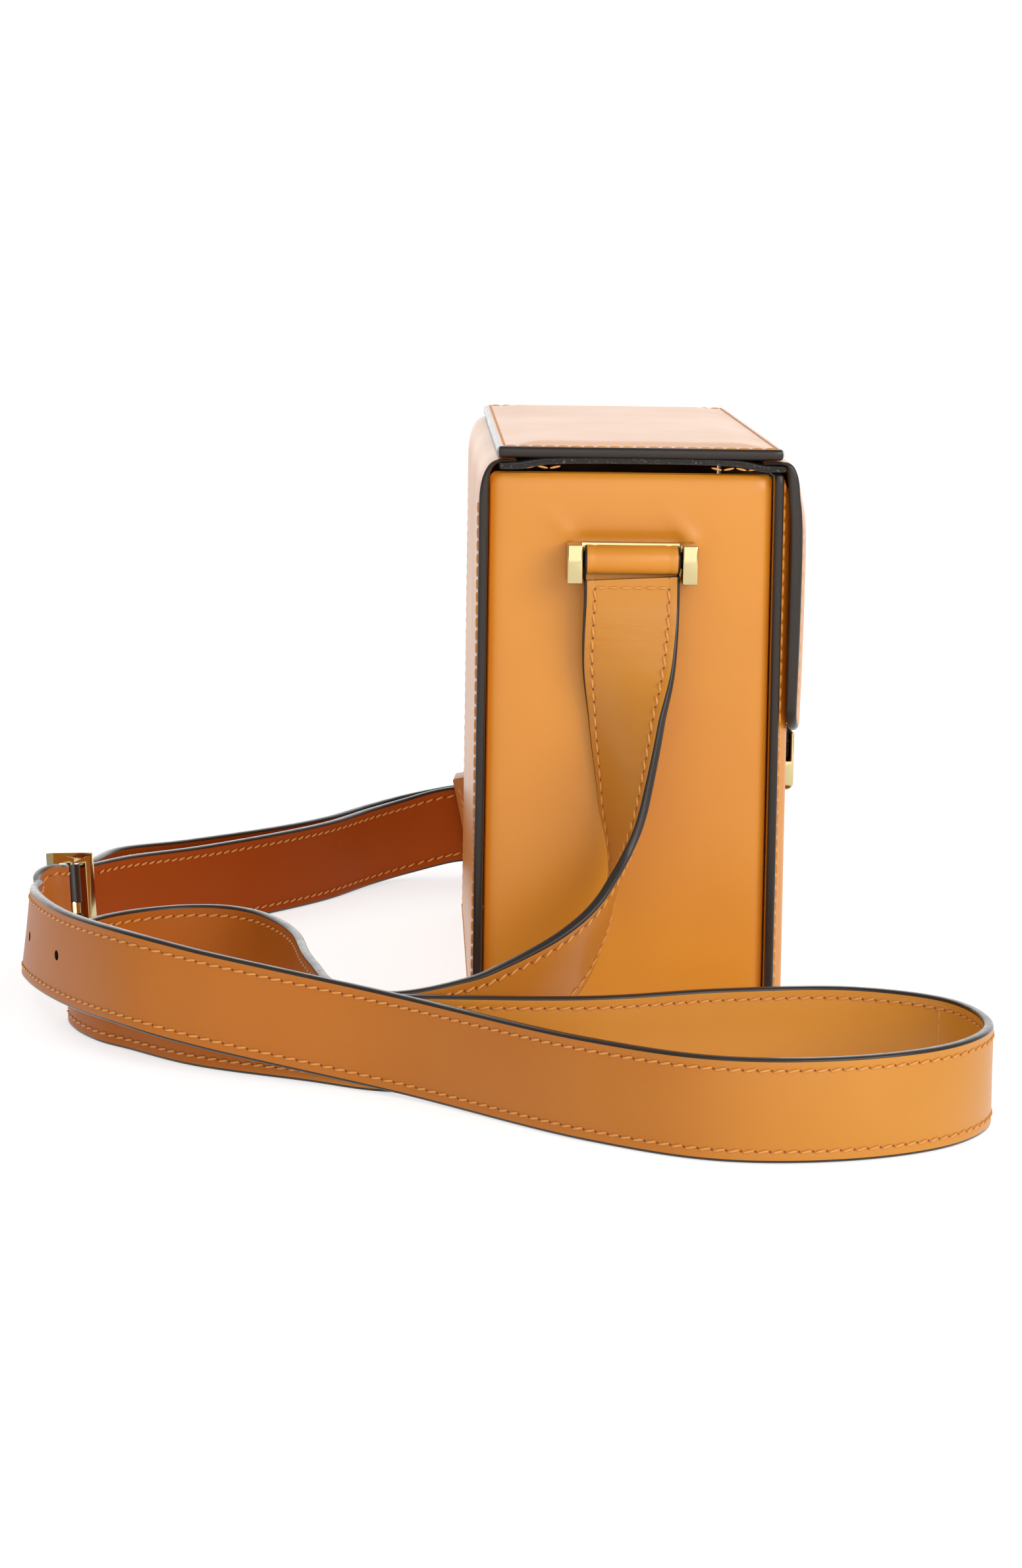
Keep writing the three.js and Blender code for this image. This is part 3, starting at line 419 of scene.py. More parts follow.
def leather_base(tree, coords, light, deep):
    """Mottled dye and the fine grain of boarded calf, both on the piece's own coordinates.

    The dye's clouds are about 40 mm wide, the grain's cells 0.9 mm, coarser than real ones so
    that they show.
    """
    clouds = add(tree, "ShaderNodeTexNoise", {
        "Vector": (coords, "Object"), "Scale": 25.0, "Detail": 3.0})
    tone = add(tree, "ShaderNodeMix", {
        "Factor": (clouds, "Fac"), 6: list(light), 7: list(deep)}, data_type="RGBA")
    grain = add(tree, "ShaderNodeTexVoronoi", {"Vector": (coords, "Object"), "Scale": 1100.0})
    pores = add(tree, "ShaderNodeTexNoise", {
        "Vector": (coords, "Object"), "Scale": 650.0, "Detail": 4.0})
    relief = add(tree, "ShaderNodeMath", {
        0: (grain, "Distance"), 1: (pores, "Fac")}, operation="MULTIPLY")
    return tone, relief, clouds


def finish_coat(shader, weight, roughness=0.2):
    """The thin acrylic finish over the dye, which turns white where it is seen at a low angle."""
    shader.inputs["Specular IOR Level"].default_value = 0.3
    shader.inputs["Coat Weight"].default_value = weight
    shader.inputs["Coat Roughness"].default_value = roughness
    shader.inputs["Coat IOR"].default_value = 1.5


@once
def smooth_calf(name):
    """Smooth calf leather, pigmented and polished: a soft sheen and a barely seen grain."""
    material, tree, shader = new_material(name)
    coords = add(tree, "ShaderNodeTexCoord")
    tone, relief, clouds = leather_base(tree, coords, colours().leather, colours().leather_deep)
    gloss = add(tree, "ShaderNodeMapRange", {
        "Value": (clouds, "Fac"), "From Min": 0.3, "From Max": 0.7, "To Min": 0.34, "To Max": 0.42})
    bump = add(tree, "ShaderNodeBump", {
        "Strength": 0.12, "Distance": 0.1 * MM, "Height": (relief, "Value")})
    finish_coat(shader, 0.4, 0.3)
    feed(tree, shader, {
        "Base Color": (tone, 2), "Roughness": (gloss, "Result"), "Normal": (bump, "Normal")})
    return material


def wear_along(tree, place):
    """How far painted shade darkens the strap along its run, from 0 to 1: a ramp through the stops of its
    table.
    """
    share = add(tree, "ShaderNodeMath", {0: (place, "X"), 1: 1 / SHADE_SPAN}, operation="MULTIPLY")
    shade_ramp = add(tree, "ShaderNodeValToRGB", {"Fac": (share, "Value")})
    ramp = shade_ramp.color_ramp
    ramp.elements[0].color = (0.0, 0.0, 0.0, 1)
    ramp.elements[1].color = (1.0, 1.0, 1.0, 1)
    for run, grey in PAINTED_SHADE:
        stop = ramp.elements.new(run / SHADE_SPAN)
        stop.color = (grey, grey, grey, 1)
    return shade_ramp


def stitch_pits(tree, place):
    """1 in the holes of the strap's two rows of stitches, and 0 away from them."""
    row = STRAP_WIDTH / 2 - sizes().stitch_margin
    off_hole = add(tree, "ShaderNodeMath", {
        0: (place, "X"), 1: sizes().stitch_pitch / 2}, operation="PINGPONG")
    across = add(tree, "ShaderNodeMath", {0: (place, "Y")}, operation="ABSOLUTE")
    off_row = add(tree, "ShaderNodeMath", {0: (across, "Value"), 1: row}, operation="SUBTRACT")
    along_squared = add(tree, "ShaderNodeMath", {0: (off_hole, "Value"), 1: 2.0}, operation="POWER")
    across_squared = add(tree, "ShaderNodeMath", {
        0: (off_row, "Value"), 1: (off_row, "Value")}, operation="MULTIPLY")
    away = add(tree, "ShaderNodeMath", {
        0: (along_squared, "Value"), 1: (across_squared, "Value")}, operation="ADD")
    return add(tree, "ShaderNodeMapRange", {
        "Value": (away, "Value"), "From Min": (0.15 * MM) ** 2, "From Max": (0.42 * MM) ** 2,
        "To Min": 1.0, "To Max": 0.0})


def bend_creases(tree, coords, place):
    """Fine creases that cross the strap where it bends under its bracket."""
    stretched = add(tree, "ShaderNodeMapping", {"Vector": (coords, "UV"), "Scale": (1.0, 0.07, 1.0)})
    crease = add(tree, "ShaderNodeTexNoise", {
        "Vector": (stretched, "Vector"), "Scale": 430.0, "Detail": 2.0, "Distortion": 0.4})
    off_bend = add(tree, "ShaderNodeMath", {0: (place, "X"), 1: CREASE_AT}, operation="SUBTRACT")
    off_squared = add(tree, "ShaderNodeMath", {
        0: (off_bend, "Value"), 1: (off_bend, "Value")}, operation="MULTIPLY")
    depth = add(tree, "ShaderNodeMapRange", {
        "Value": (off_squared, "Value"), "From Min": 0.0, "From Max": CREASE_REACH ** 2,
        "To Min": 60.0, "To Max": 0.0})
    return add(tree, "ShaderNodeMath", {
        0: (crease, "Fac"), 1: (depth, "Result")}, operation="MULTIPLY")


@once
def strap_calf(name):
    """The strap's calf leather. Its UV map runs along the strap and across it, in metres, so the
    stitch holes, the painted shade along the run and the creases under the bracket follow the strap."""
    material, tree, shader = new_material(name)
    coords = add(tree, "ShaderNodeTexCoord")
    dye, relief, clouds = leather_base(tree, coords, colours().strap, colours().strap_deep)
    place = add(tree, "ShaderNodeSeparateXYZ", {"Vector": (coords, "UV")})
    # Painted shade: the dye is darkened, and the finish dulled, on the stretches of the run that lie in
    # shade.
    shade_ramp = wear_along(tree, place)
    sheen = add(tree, "ShaderNodeMapRange", {
        "Value": (shade_ramp, "Color"), "To Min": 0.3, "To Max": 0.02})
    coat = add(tree, "ShaderNodeMapRange", {
        "Value": (shade_ramp, "Color"), "To Min": 0.2, "To Max": 0.0})
    # Painted shade: the dye mixed towards its shade colour along the run.
    shaded_dye = add(tree, "ShaderNodeMix", {
        "Factor": (shade_ramp, "Color"), 6: (dye, 2), 7: list(colours().strap_worn)}, data_type="RGBA")
    # Painted shade in the stitch holes: the colour darkens there, and the same mask sinks the bump.
    pit = stitch_pits(tree, place)
    tone = add(tree, "ShaderNodeMix", {
        "Factor": (pit, "Result"), 6: (shaded_dye, 2), 7: list(colours().pit)}, data_type="RGBA")
    creases = bend_creases(tree, coords, place)
    height = add(tree, "ShaderNodeMath", {
        0: (relief, "Value"), 1: (creases, "Value")}, operation="ADD")
    sunk = add(tree, "ShaderNodeMath", {
        0: (pit, "Result"), 1: -4.0, 2: (height, "Value")}, operation="MULTIPLY_ADD")
    bump = add(tree, "ShaderNodeBump", {
        "Strength": 0.16, "Distance": 0.1 * MM, "Height": (sunk, "Value")})
    gloss = add(tree, "ShaderNodeMapRange", {
        "Value": (clouds, "Fac"), "From Min": 0.3, "From Max": 0.7, "To Min": 0.36, "To Max": 0.44})
    finish_coat(shader, 0.12)
    feed(tree, shader, {
        "Base Color": (tone, 2), "Roughness": (gloss, "Result"), "Normal": (bump, "Normal"),
        "Specular IOR Level": (sheen, "Result"), "Coat Weight": (coat, "Result")})
    return material


@once
def smooth_strap(name):
    """The strap's leather on its small parts, darker than the strap: mottled between its deep tone and
    its painted-shade colour.
    """
    material, tree, shader = new_material(name)
    coords = add(tree, "ShaderNodeTexCoord")
    tone, relief, _ = leather_base(tree, coords, colours().strap_deep, colours().strap_worn)
    bump = add(tree, "ShaderNodeBump", {
        "Strength": 0.16, "Distance": 0.1 * MM, "Height": (relief, "Value")})
    finish_coat(shader, 0.12)
    feed(tree, shader, {"Base Color": (tone, 2), "Roughness": 0.42, "Normal": (bump, "Normal")})
    return material


@once
def edge_paint(name):
    """Acrylic edge paint in several sanded coats: dark, half glossy, slightly uneven."""
    material, tree, shader = new_material(name)
    coords = add(tree, "ShaderNodeTexCoord")
    waves = add(tree, "ShaderNodeTexNoise", {
        "Vector": (coords, "Object"), "Scale": 260.0, "Detail": 3.0})
    gloss = add(tree, "ShaderNodeMapRange", {
        "Value": (waves, "Fac"), "From Min": 0.3, "From Max": 0.7, "To Min": 0.3, "To Max": 0.45})
    bump = add(tree, "ShaderNodeBump", {
        "Strength": 0.25, "Distance": 0.25 * MM, "Height": (waves, "Fac")})
    feed(tree, shader, {
        "Base Color": colours().edge_paint, "Specular IOR Level": 0.25,
        "Coat Weight": 0.8, "Coat Roughness": 0.25, "Coat IOR": 1.25,
        "Roughness": (gloss, "Result"), "Normal": (bump, "Normal")})
    return material


@once
def plated_brass(name):
    """Cast brass, polished and plated pale gold: a mirror with faint polishing waves."""
    material, tree, shader = new_material(name)
    coords = add(tree, "ShaderNodeTexCoord")
    waves = add(tree, "ShaderNodeTexNoise", {
        "Vector": (coords, "Object"), "Scale": 120.0, "Detail": 2.0})
    gloss = add(tree, "ShaderNodeMapRange", {
        "Value": (waves, "Fac"), "From Min": 0.3, "From Max": 0.7, "To Min": 0.07, "To Max": 0.13})
    bump = add(tree, "ShaderNodeBump", {
        "Strength": 0.05, "Distance": 0.2 * MM, "Height": (waves, "Fac")})
    feed(tree, shader, {
        "Base Color": colours().gold, "Metallic": 1.0,
        "Roughness": (gloss, "Result"), "Normal": (bump, "Normal")})
    return material


@once
def waxed_thread(name):
    """Twisted and waxed linen thread, a little lighter than the leather. Its plies are drawn
    0.7 mm wide, coarser than real ones so that they show."""
    material, tree, shader = new_material(name)
    coords = add(tree, "ShaderNodeTexCoord")
    plies = add(tree, "ShaderNodeTexNoise", {
        "Vector": (coords, "Object"), "Scale": 1500.0, "Detail": 2.0})
    tone = add(tree, "ShaderNodeMix", {
        "Factor": (plies, "Fac"), 6: list(colours().thread), 7: list(colours().leather_deep),
    }, data_type="RGBA")
    bump = add(tree, "ShaderNodeBump", {
        "Strength": 0.4, "Distance": 0.15 * MM, "Height": (plies, "Fac")})
    feed(tree, shader, {"Base Color": (tone, 2), "Roughness": 0.5, "Normal": (bump, "Normal")})
    return material


@once
def black_suede(name):
    """Black suede with a raised nap of 0.6 mm tufts that catch some light."""
    material, tree, shader = new_material(name)
    coords = add(tree, "ShaderNodeTexCoord")
    nap = add(tree, "ShaderNodeTexNoise", {
        "Vector": (coords, "Object"), "Scale": 1800.0, "Detail": 5.0})
    tufts = add(tree, "ShaderNodeMapRange", {
        "Value": (nap, "Fac"), "From Min": 0.6, "From Max": 0.72})
    tone = add(tree, "ShaderNodeMix", {
        "Factor": (tufts, "Result"), 6: list(colours().suede), 7: linear("6E675F"),
    }, data_type="RGBA")
    bump = add(tree, "ShaderNodeBump", {"Strength": 0.8, "Distance": 0.3 * MM, "Height": (nap, "Fac")})
    feed(tree, shader, {
        "Base Color": (tone, 2), "Roughness": 0.9, "Sheen Weight": 0.15, "Normal": (bump, "Normal")})
    return material


# Meshes

def finish(name, bm, materials, nodes, sharp=40):
    """Turns a mesh into a smooth-shaded piece of the bag that stands for the named nodes."""
    bmesh.ops.recalc_face_normals(bm, faces=bm.faces)
    for face in bm.faces:
        face.smooth = True
    mesh = bpy.data.meshes.new(name)
    bm.to_mesh(mesh)
    bm.free()
    mesh.set_sharp_from_angle(angle=math.radians(sharp))
    for material in materials:
        mesh.materials.append(material)
    piece = bpy.data.objects.new(name, mesh)
    bpy.context.scene.collection.objects.link(piece)
    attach(piece, "root")
    if nodes:
        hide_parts(*nodes)
    return piece


def spline(points, t):
    """A centripetal Catmull-Rom curve through the points, with t from 0 to their count less one."""
    last = len(points) - 1
    i = min(int(t), last - 1)
    t -= i
    p1, p2 = points[i], points[i + 1]
    p0 = points[i - 1] if i > 0 else 2 * p1 - p2
    p3 = points[i + 2] if i + 2 <= last else 2 * points[last] - points[last - 1]
    d0, d1, d2 = (math.sqrt((b - a).length) or 1.0 for a, b in ((p0, p1), (p1, p2), (p2, p3)))
    start = ((p1 - p0) / d0 - (p2 - p0) / (d0 + d1) + (p2 - p1) / d1) * d1
    end = ((p2 - p1) / d1 - (p3 - p1) / (d1 + d2) + (p3 - p2) / d2) * d1
    return hermite(p1, p2, start, end, t)


def hermite(a, b, start, end, t):
    """A cubic from a to b with the given slopes at its ends, for t from 0 to 1."""
    square = 3 * (b - a) - 2 * start - end
    cube = 2 * (a - b) + start + end
    return a + start * t + square * t * t + cube * t * t * t


def mix(table, key, value, at):
    """Linear look-up in a table whose key column rises."""
    rows = [(getattr(row, key), getattr(row, value)) for row in table]
    for (low, a), (high, b) in zip(rows, rows[1:]):
        if at <= high:
            return a + (b - a) * max(0.0, (at - low) / (high - low))
    return rows[-1][1]


def smoothstep(low, high, value):
    """0 up to low and 1 from high on, eased between; falling where high is below low."""
    share = min(1.0, max(0.0, (value - low) / (high - low)))
    return share * share * (3 - 2 * share)


def loft(rings, paint, uv=None):
    """A closed skin through rings of equally many points: a grid rolled up along its seam.

    paint(i, j) gives the material of a face and uv(i, j) the map of a point. The ends have
    edge paint, the second material.
    """
    columns, rows = len(rings) - 1, len(rings[0])
    bm = bmesh.new()
    layer = bm.loops.layers.uv.new("UVMap")
    bmesh.ops.create_grid(bm, x_segments=columns, y_segments=rows, size=0.5)
    cell = {}
    for vert in bm.verts:
        cell[vert] = round((vert.co.x + 0.5) * columns), round((vert.co.y + 0.5) * rows)
    for face in bm.faces:
        i, j = (min(cell[vert][k] for vert in face.verts) for k in (0, 1))
        face.material_index = paint(i, j)
        if uv:
            for loop in face.loops:
                loop[layer].uv = uv(*cell[loop.vert])
    for vert, (i, j) in cell.items():
        vert.co = rings[i][j % rows]
    bmesh.ops.remove_doubles(bm, verts=bm.verts, dist=1e-7)
    edges = [edge for edge in bm.edges if edge.is_boundary]
    for face in bmesh.ops.holes_fill(bm, edges=edges)["faces"]:
        face.material_index = 1
    return bm


def crowded(size, run, edge_steps, middle_steps):
    """Places across a panel: close together within run of its edges, wider apart between."""
    half = size / 2
    edge = [-half + run * (k / edge_steps) for k in range(edge_steps)]
    inner = size - 2 * run
    middle = [-half + run + inner * k / middle_steps for k in range(middle_steps + 1)]
    return edge + middle + [-place for place in reversed(edge)]


def round_corner(x, y, width, height, radius):
    """Moves a point of a rectangle's grid so that the rectangle's corners are round."""
    a, b = abs(x) - (width / 2 - radius), abs(y) - (height / 2 - radius)
    if a <= 0 or b <= 0:
        return x, y
    a, b = a / radius, b / radius
    a, b = a * math.sqrt(1 - b * b / 2), b * math.sqrt(1 - a * a / 2)
    return (math.copysign(width / 2 - radius + a * radius, x),
            math.copysign(height / 2 - radius + b * radius, y))


def inset_of(x, y, width, height, radius):
    """How far a point lies inside a rounded rectangle, and the direction out of it."""
    a, b = abs(x) - (width / 2 - radius), abs(y) - (height / 2 - radius)
    if a > 0 and b > 0:
        away = math.hypot(a, b)
        out = Vector((math.copysign(a, x), math.copysign(b, y))) / away
        return radius - away, out
    if a > b:
        return radius - a, Vector((math.copysign(1, x), 0))
    return radius - b, Vector((0, math.copysign(1, y)))


def board(width, height, corner, wall, rise, edge, steps, place):
    """A stiff covered panel: a grid for its face, a rounded rim and a flat back.

    rise(x, y) lifts the face above the wall, edge is the radius of the rim's two corners, steps
    the grid's steps each way, and place turns panel coordinates into the bag's.
    """
    inner_w, inner_h = width - 2 * edge, height - 2 * edge
    inner_corner = max(corner - edge, 0.2 * MM)
    across, up = (crowded(size, 12 * MM, 14, count) for size, count in zip((inner_w, inner_h), steps))
    bm = bmesh.new()
    bm.loops.layers.uv.new("UVMap")
    bmesh.ops.create_grid(bm, x_segments=len(across) - 1, y_segments=len(up) - 1, size=0.5)
    for vert in bm.verts:
        i = round((vert.co.x + 0.5) * (len(across) - 1))
        j = round((vert.co.y + 0.5) * (len(up) - 1))
        x, y = round_corner(across[i], up[j], inner_w, inner_h, inner_corner)
        vert.co = (x, y, wall + rise(x, y))
    rim = [side for side in bm.edges if side.is_boundary]
    quarter = [math.radians(angle) for angle in (30, 60, 90)]
    profile = [(math.sin(a), 1 - math.cos(a), wall) for a in quarter]
    profile += [(math.cos(a), -(1 - math.sin(a)), 0.0) for a in [0.0] + quarter]
    before = 0.0
    for out, drop, level in profile:
        outward = out * edge
        height_now = level - drop * edge if level else edge * (1 - math.sin(math.acos(min(1.0, out))))
        grown = bmesh.ops.extrude_edge_only(bm, edges=rim)["geom"]
        for vert in (g for g in grown if isinstance(g, bmesh.types.BMVert)):
            _, way = inset_of(vert.co.x, vert.co.y, inner_w + 2 * before, inner_h + 2 * before,
                              inner_corner + before)
            vert.co.x += way.x * (outward - before)
            vert.co.y += way.y * (outward - before)
            vert.co.z = height_now
        for face in (g for g in grown if isinstance(g, bmesh.types.BMFace)):
            face.material_index = 1
        rim = [g for g in grown if isinstance(g, bmesh.types.BMEdge) and g.is_boundary]
        before = outward
    for face in bmesh.ops.holes_fill(bm, edges=rim)["faces"]:
        face.material_index = 0
    bmesh.ops.transform(bm, matrix=place, verts=bm.verts)
    return bm


def standing(x_way, y_way, at):
    """The place of a panel whose own X and Y run along two directions of the bag."""
    turn = Matrix((x_way, y_way, x_way.cross(y_way))).transposed().to_4x4()
    return Matrix.Translation(at) @ turn


def sheet(line, stations, paint=lambda i, nose: 0, steps=6):
    """A leather sheet whose section follows the middle line's points (x, z, wall) along Y.

    line(y) gives the points, and stations holds each place along Y with how far its outline is
    drawn in there, so that the sheet's ends are rounded. paint(i, nose) gives the material of a
    face from its step along Y and whether it lies on the rounded free end of the section.
    """
    rings = []
    for y, inset in stations:
        points = [Vector(point) for point in line(y)]
        fine = [spline(points, k / steps) for k in range((len(points) - 1) * steps + 1)]
        left, right = [], []
        for i, point in enumerate(fine):
            ahead, behind = fine[min(i + 1, len(fine) - 1)], fine[max(i - 1, 0)]
            along = Vector((ahead.x - behind.x, ahead.y - behind.y)).normalized()
            reach = max(point.z / 2 - inset, 0.05 * MM)
            side = Vector((-along.y, along.x)) * reach
            left.append((point.x + side.x, y, point.y + side.y))
            right.append((point.x - side.x, y, point.y - side.y))
        nose = []
        end = fine[-1]
        for degrees in (-60, -30, 0, 30, 60):
            angle = math.radians(degrees)
            reach = max(end.z / 2 - inset, 0.05 * MM)
            nose.append((end.x + (along.x * math.cos(angle) + along.y * math.sin(angle)) * reach, y,
                         end.y + (along.y * math.cos(angle) - along.x * math.sin(angle)) * reach))
        rings.append([Vector(point) for point in left + nose + right[::-1]])
    count = len(left)
    noses = range(count - 1, count + len(nose))
    return loft(rings, lambda i, j: paint(i, j in noses))


def rounded_ends(half, radius, middle):
    """Stations from one end of a sheet to the other, with its last steps drawn in to a round edge."""
    angles = [math.radians(angle) for angle in (0, 22.5, 45, 67.5, 90)]
    low = [(-half + radius * (1 - math.cos(a)), radius * (1 - math.sin(a))) for a in angles]
    inner = half - radius
    between = [(-inner + 2 * inner * k / middle, 0.0) for k in range(1, middle)]
    return low + between + [(-y, inset) for y, inset in reversed(low)]


def painted_edges(stations):
    """Edge paint on a sheet's free end and on the rounded steps at both its sides."""
    last = len(stations) - 1
    return lambda i, nose: 1 if nose or i < END_STEPS or i >= last - END_STEPS else 0


# The strap's route and its frames

HANG_Y = HALF_LENGTH - SIDE_INSET + HANG_OUT
HANG_TOP = BRACKET_Z + BAR_RISE - BAR_RADIUS - LOOP_WALL - 2 * CLEARANCE
LAYER_STEP = STRAP_WALL + LAYER_GAP
BUCKLE_HEIGHT = STRAP_WIDTH + 2 * SIDE_PLAY + 2 * BUCKLE_RAIL
LEVEL_OUT = Vector((-math.cos(BUCKLE_TURN), math.sin(BUCKLE_TURN), 0))
BUCKLE_ALONG = Matrix.Rotation(math.pi / 2 + BUCKLE_PITCH, 3, LEVEL_OUT) @ Z
BUCKLE_OUT = Matrix.Rotation(-BUCKLE_LEAN, 3, BUCKLE_ALONG) @ LEVEL_OUT
BUCKLE_UP = BUCKLE_ALONG.cross(BUCKLE_OUT)
BUCKLE_CENTRE = Vector((
    BUCKLE_X * HALF_DEPTH, BUCKLE_Y * HALF_LENGTH,
    (BUCKLE_HEIGHT * BUCKLE_UP.z + BUCKLE_LENGTH * abs(BUCKLE_ALONG.z)
     + BUCKLE_WALL * abs(BUCKLE_OUT.z)) / 2))
LOOP_RADIUS = CENTRE_BAR_RADIUS + CLEARANCE + BUCKLE_LOOP_WALL
PASS_INNER = BUCKLE_WALL / 2 + CLEARANCE + STRAP_WALL / 2
PASS_OUTER = LOOP_RADIUS + CLEARANCE + STRAP_WALL / 2
HALF_BUCKLE = BUCKLE_LENGTH / 2
PRONG_OUT = BUCKLE_WALL / 2 + 1.5 * CLEARANCE
# How far down the strap the bend under its bracket creases it
CREASE_AT = 15.5 * MM
CREASE_REACH = 7 * MM
# Where two lengths of the long strap are joined
SEAM_RUN = 610 * MM
# Painted shade along the strap's run: how far it darkens the dye, at runs in metres. The short strap's
# run starts SHORT_FROM stitches on.
PAINTED_SHADE = ((0.16, 0.4), (0.24, 0.72), (0.42, 0.68), (0.48, 0.05), (0.62, 0.0), (0.69, 0.0), (0.74, 0.4),
        (0.8, 0.5), (1.0, 0.6), (1.1, 1.0), (1.2, 1.0))
SHADE_SPAN = 1.7
SHORT_FROM = 353

Frame = namedtuple("Frame", "at along width face run")


def station(stop, side):
    """The middle of the strap at one stop of its route, and the direction of its width."""
    level, lift = math.radians(stop.swing), math.radians(stop.stand)
    low, high = STRAP_WIDTH / 2, HANG_TOP
    at = Vector((stop.x * HALF_DEPTH,
                 side * (HANG_Y + stop.out * HALF_LENGTH + stop.layer * LAYER_STEP),
                 low + (high - low) * stop.rise))
    width = Vector((math.cos(level) * math.cos(lift), side * math.sin(level) * math.cos(lift),
                    math.sin(lift)))
    return at, width


def in_buckle(along, out):
    """A station in the buckle's own directions: along the strap and out from the bag."""
    return BUCKLE_CENTRE + BUCKLE_ALONG * along + BUCKLE_OUT * out, BUCKLE_UP.copy()


def width_at(widths, t):
    """The strap's width direction between stations, eased with a tension of 0.4."""
    last = len(widths) - 1
    i = min(int(t), last - 1)
    before = widths[i - 1] if i > 0 else 2 * widths[0] - widths[1]
    after = widths[i + 2] if i + 2 <= last else 2 * widths[last] - widths[last - 1]
    return hermite(widths[i], widths[i + 1], 0.4 * (widths[i + 1] - before),
                   0.4 * (after - widths[i]), t - i)


def strap_frames(stations):
    """Frames close together along a smooth strap through the stations."""
    points, widths = [at for at, _ in stations], [width for _, width in stations]
    last = len(points) - 1
    places = []
    for i in range(last):
        pieces = max(2, math.ceil((points[i + 1] - points[i]).length / STRAP_STEP))
        places += [i + k / pieces for k in range(pieces)]
    places.append(last)
    frames, run = [], 0.0
    for t in places:
        at = spline(points, t)
        along = (spline(points, min(t + 0.002, last)) - spline(points, max(t - 0.002, 0))).normalized()
        width = width_at(widths, t)
        width = (width - along * width.dot(along)).normalized()
        run += (at - frames[-1].at).length if frames else 0.0
        frames.append(Frame(at, along, width, along.cross(width), run))
    return frames


def frame_at(frames, run):
    """The strap's frame at one run, between the frames next to it."""
    i = next((i for i, one in enumerate(frames) if one.run >= run and i > 0), len(frames) - 1)
    a, b = frames[i - 1], frames[i]
    share = (run - a.run) / (b.run - a.run)
    at, along, width = (a[k].lerp(b[k], share) for k in range(3))
    along.normalize()
    width.normalize()
    return Frame(at, along, width, along.cross(width), run)


def short_frames():
    """From the buckle's centre bar, over its far bar and round to the far bracket."""
    start = LOOP_RADIUS + 2 * CLEARANCE
    stations = [in_buckle(start, SHORT_END_OUT), in_buckle(HALF_BUCKLE - FAR_BAR, PASS_INNER + 0.1 * MM),
                in_buckle(HALF_BUCKLE, PASS_INNER + 0.1 * MM)]
    return strap_frames(stations + [station(stop, 1) for stop in FAR_ROUTE])


def keeper_run(short):
    """The run of the short strap at which the keeper sits."""
    i = next(i for i, f in enumerate(short) if f.at.x >= KEEPER_X * HALF_DEPTH and f.along.x > 0)
    a, b = short[i - 1], short[i]
    return a.run + (b.run - a.run) * (KEEPER_X * HALF_DEPTH - a.at.x) / (b.at.x - a.at.x)


def long_frames(short, keeper):
    """From the near bracket, through the buckle and on as a loose tail to past the keeper."""
    far_bar = in_buckle(HALF_BUCKLE, PASS_INNER)[0]
    start = min(short, key=lambda f: (f.at - far_bar).length).run
    tail = []
    for bow in TAIL_BOW:
        under = frame_at(short, start + bow.along * (keeper - start))
        tail.append((under.at - under.face * (LAYER_STEP + bow.bow * STRAP_WIDTH), Z.copy()))
    for share in (-0.5, 0.5):
        under = frame_at(short, keeper + share * KEEPER_LENGTH)
        tail.append((under.at - under.face * LAYER_STEP, Z.copy()))
    tail.append((tail[-1][0] + under.along * TAIL_PAST_KEEPER - under.face * LAYER_GAP, Z.copy()))
    passing = [
        (-HALF_BUCKLE * 1.45, -PASS_INNER - 2 * CLEARANCE), (-HALF_BUCKLE, -PASS_INNER - CLEARANCE),
        (-HALF_BUCKLE + 0.9 * NEAR_BAR, -PASS_INNER - CLEARANCE), (-HALF_BUCKLE * 0.49, -CLEARANCE),
        (-PASS_OUTER * 0.98, PASS_OUTER * 0.69), (0, PASS_OUTER + 2 * CLEARANCE),
        (HALF_BUCKLE * 0.3, PASS_OUTER + 2.25 * MM), (HALF_BUCKLE * 0.55, PASS_OUTER + 2.5 * MM),
        (HALF_BUCKLE, PASS_INNER + LAYER_STEP + 0.25 * MM)]
    return strap_frames([station(stop, -1) for stop in NEAR_ROUTE]
                        + [in_buckle(*place) for place in passing] + tail)


def strap_section(wall, width, radius):
    """The strap's section, as (face, width, whether the next face is painted), going round it.

    The leather dips along its two stitch lines, and its painted edges are round.
    """
    half, side = wall / 2, width / 2
    row = side - sizes().stitch_margin
    flat = [side - radius, row + 0.9 * MM, row + 0.35 * MM, row - 0.35 * MM, row - 0.9 * MM, 0.0]
    flat = flat + [-w for w in reversed(flat[:-1])]
    dip = [0.0, 0.0, STITCH_DIP, STITCH_DIP, 0.0, 0.05 * MM, 0.0, STITCH_DIP, STITCH_DIP, 0.0, 0.0]
    points = [(half - d, w, False) for w, d in zip(flat, dip)]
    points[-1] = (*points[-1][:2], True)
    round_off = [math.radians(angle) for angle in (30, 60, 90)]
    edge = [(half - radius + radius * math.cos(a), -(side - radius + radius * math.sin(a)))
            for a in round_off]
    if half - radius > 0.05 * MM:
        edge += [(-f, w) for f, w in reversed(edge)]
    else:
        edge += [(-f, w) for f, w in reversed(edge[:-1])]
    points += [(f, w, True) for f, w in edge]
    return points + [(-f, -w, painted) for f, w, painted in points]


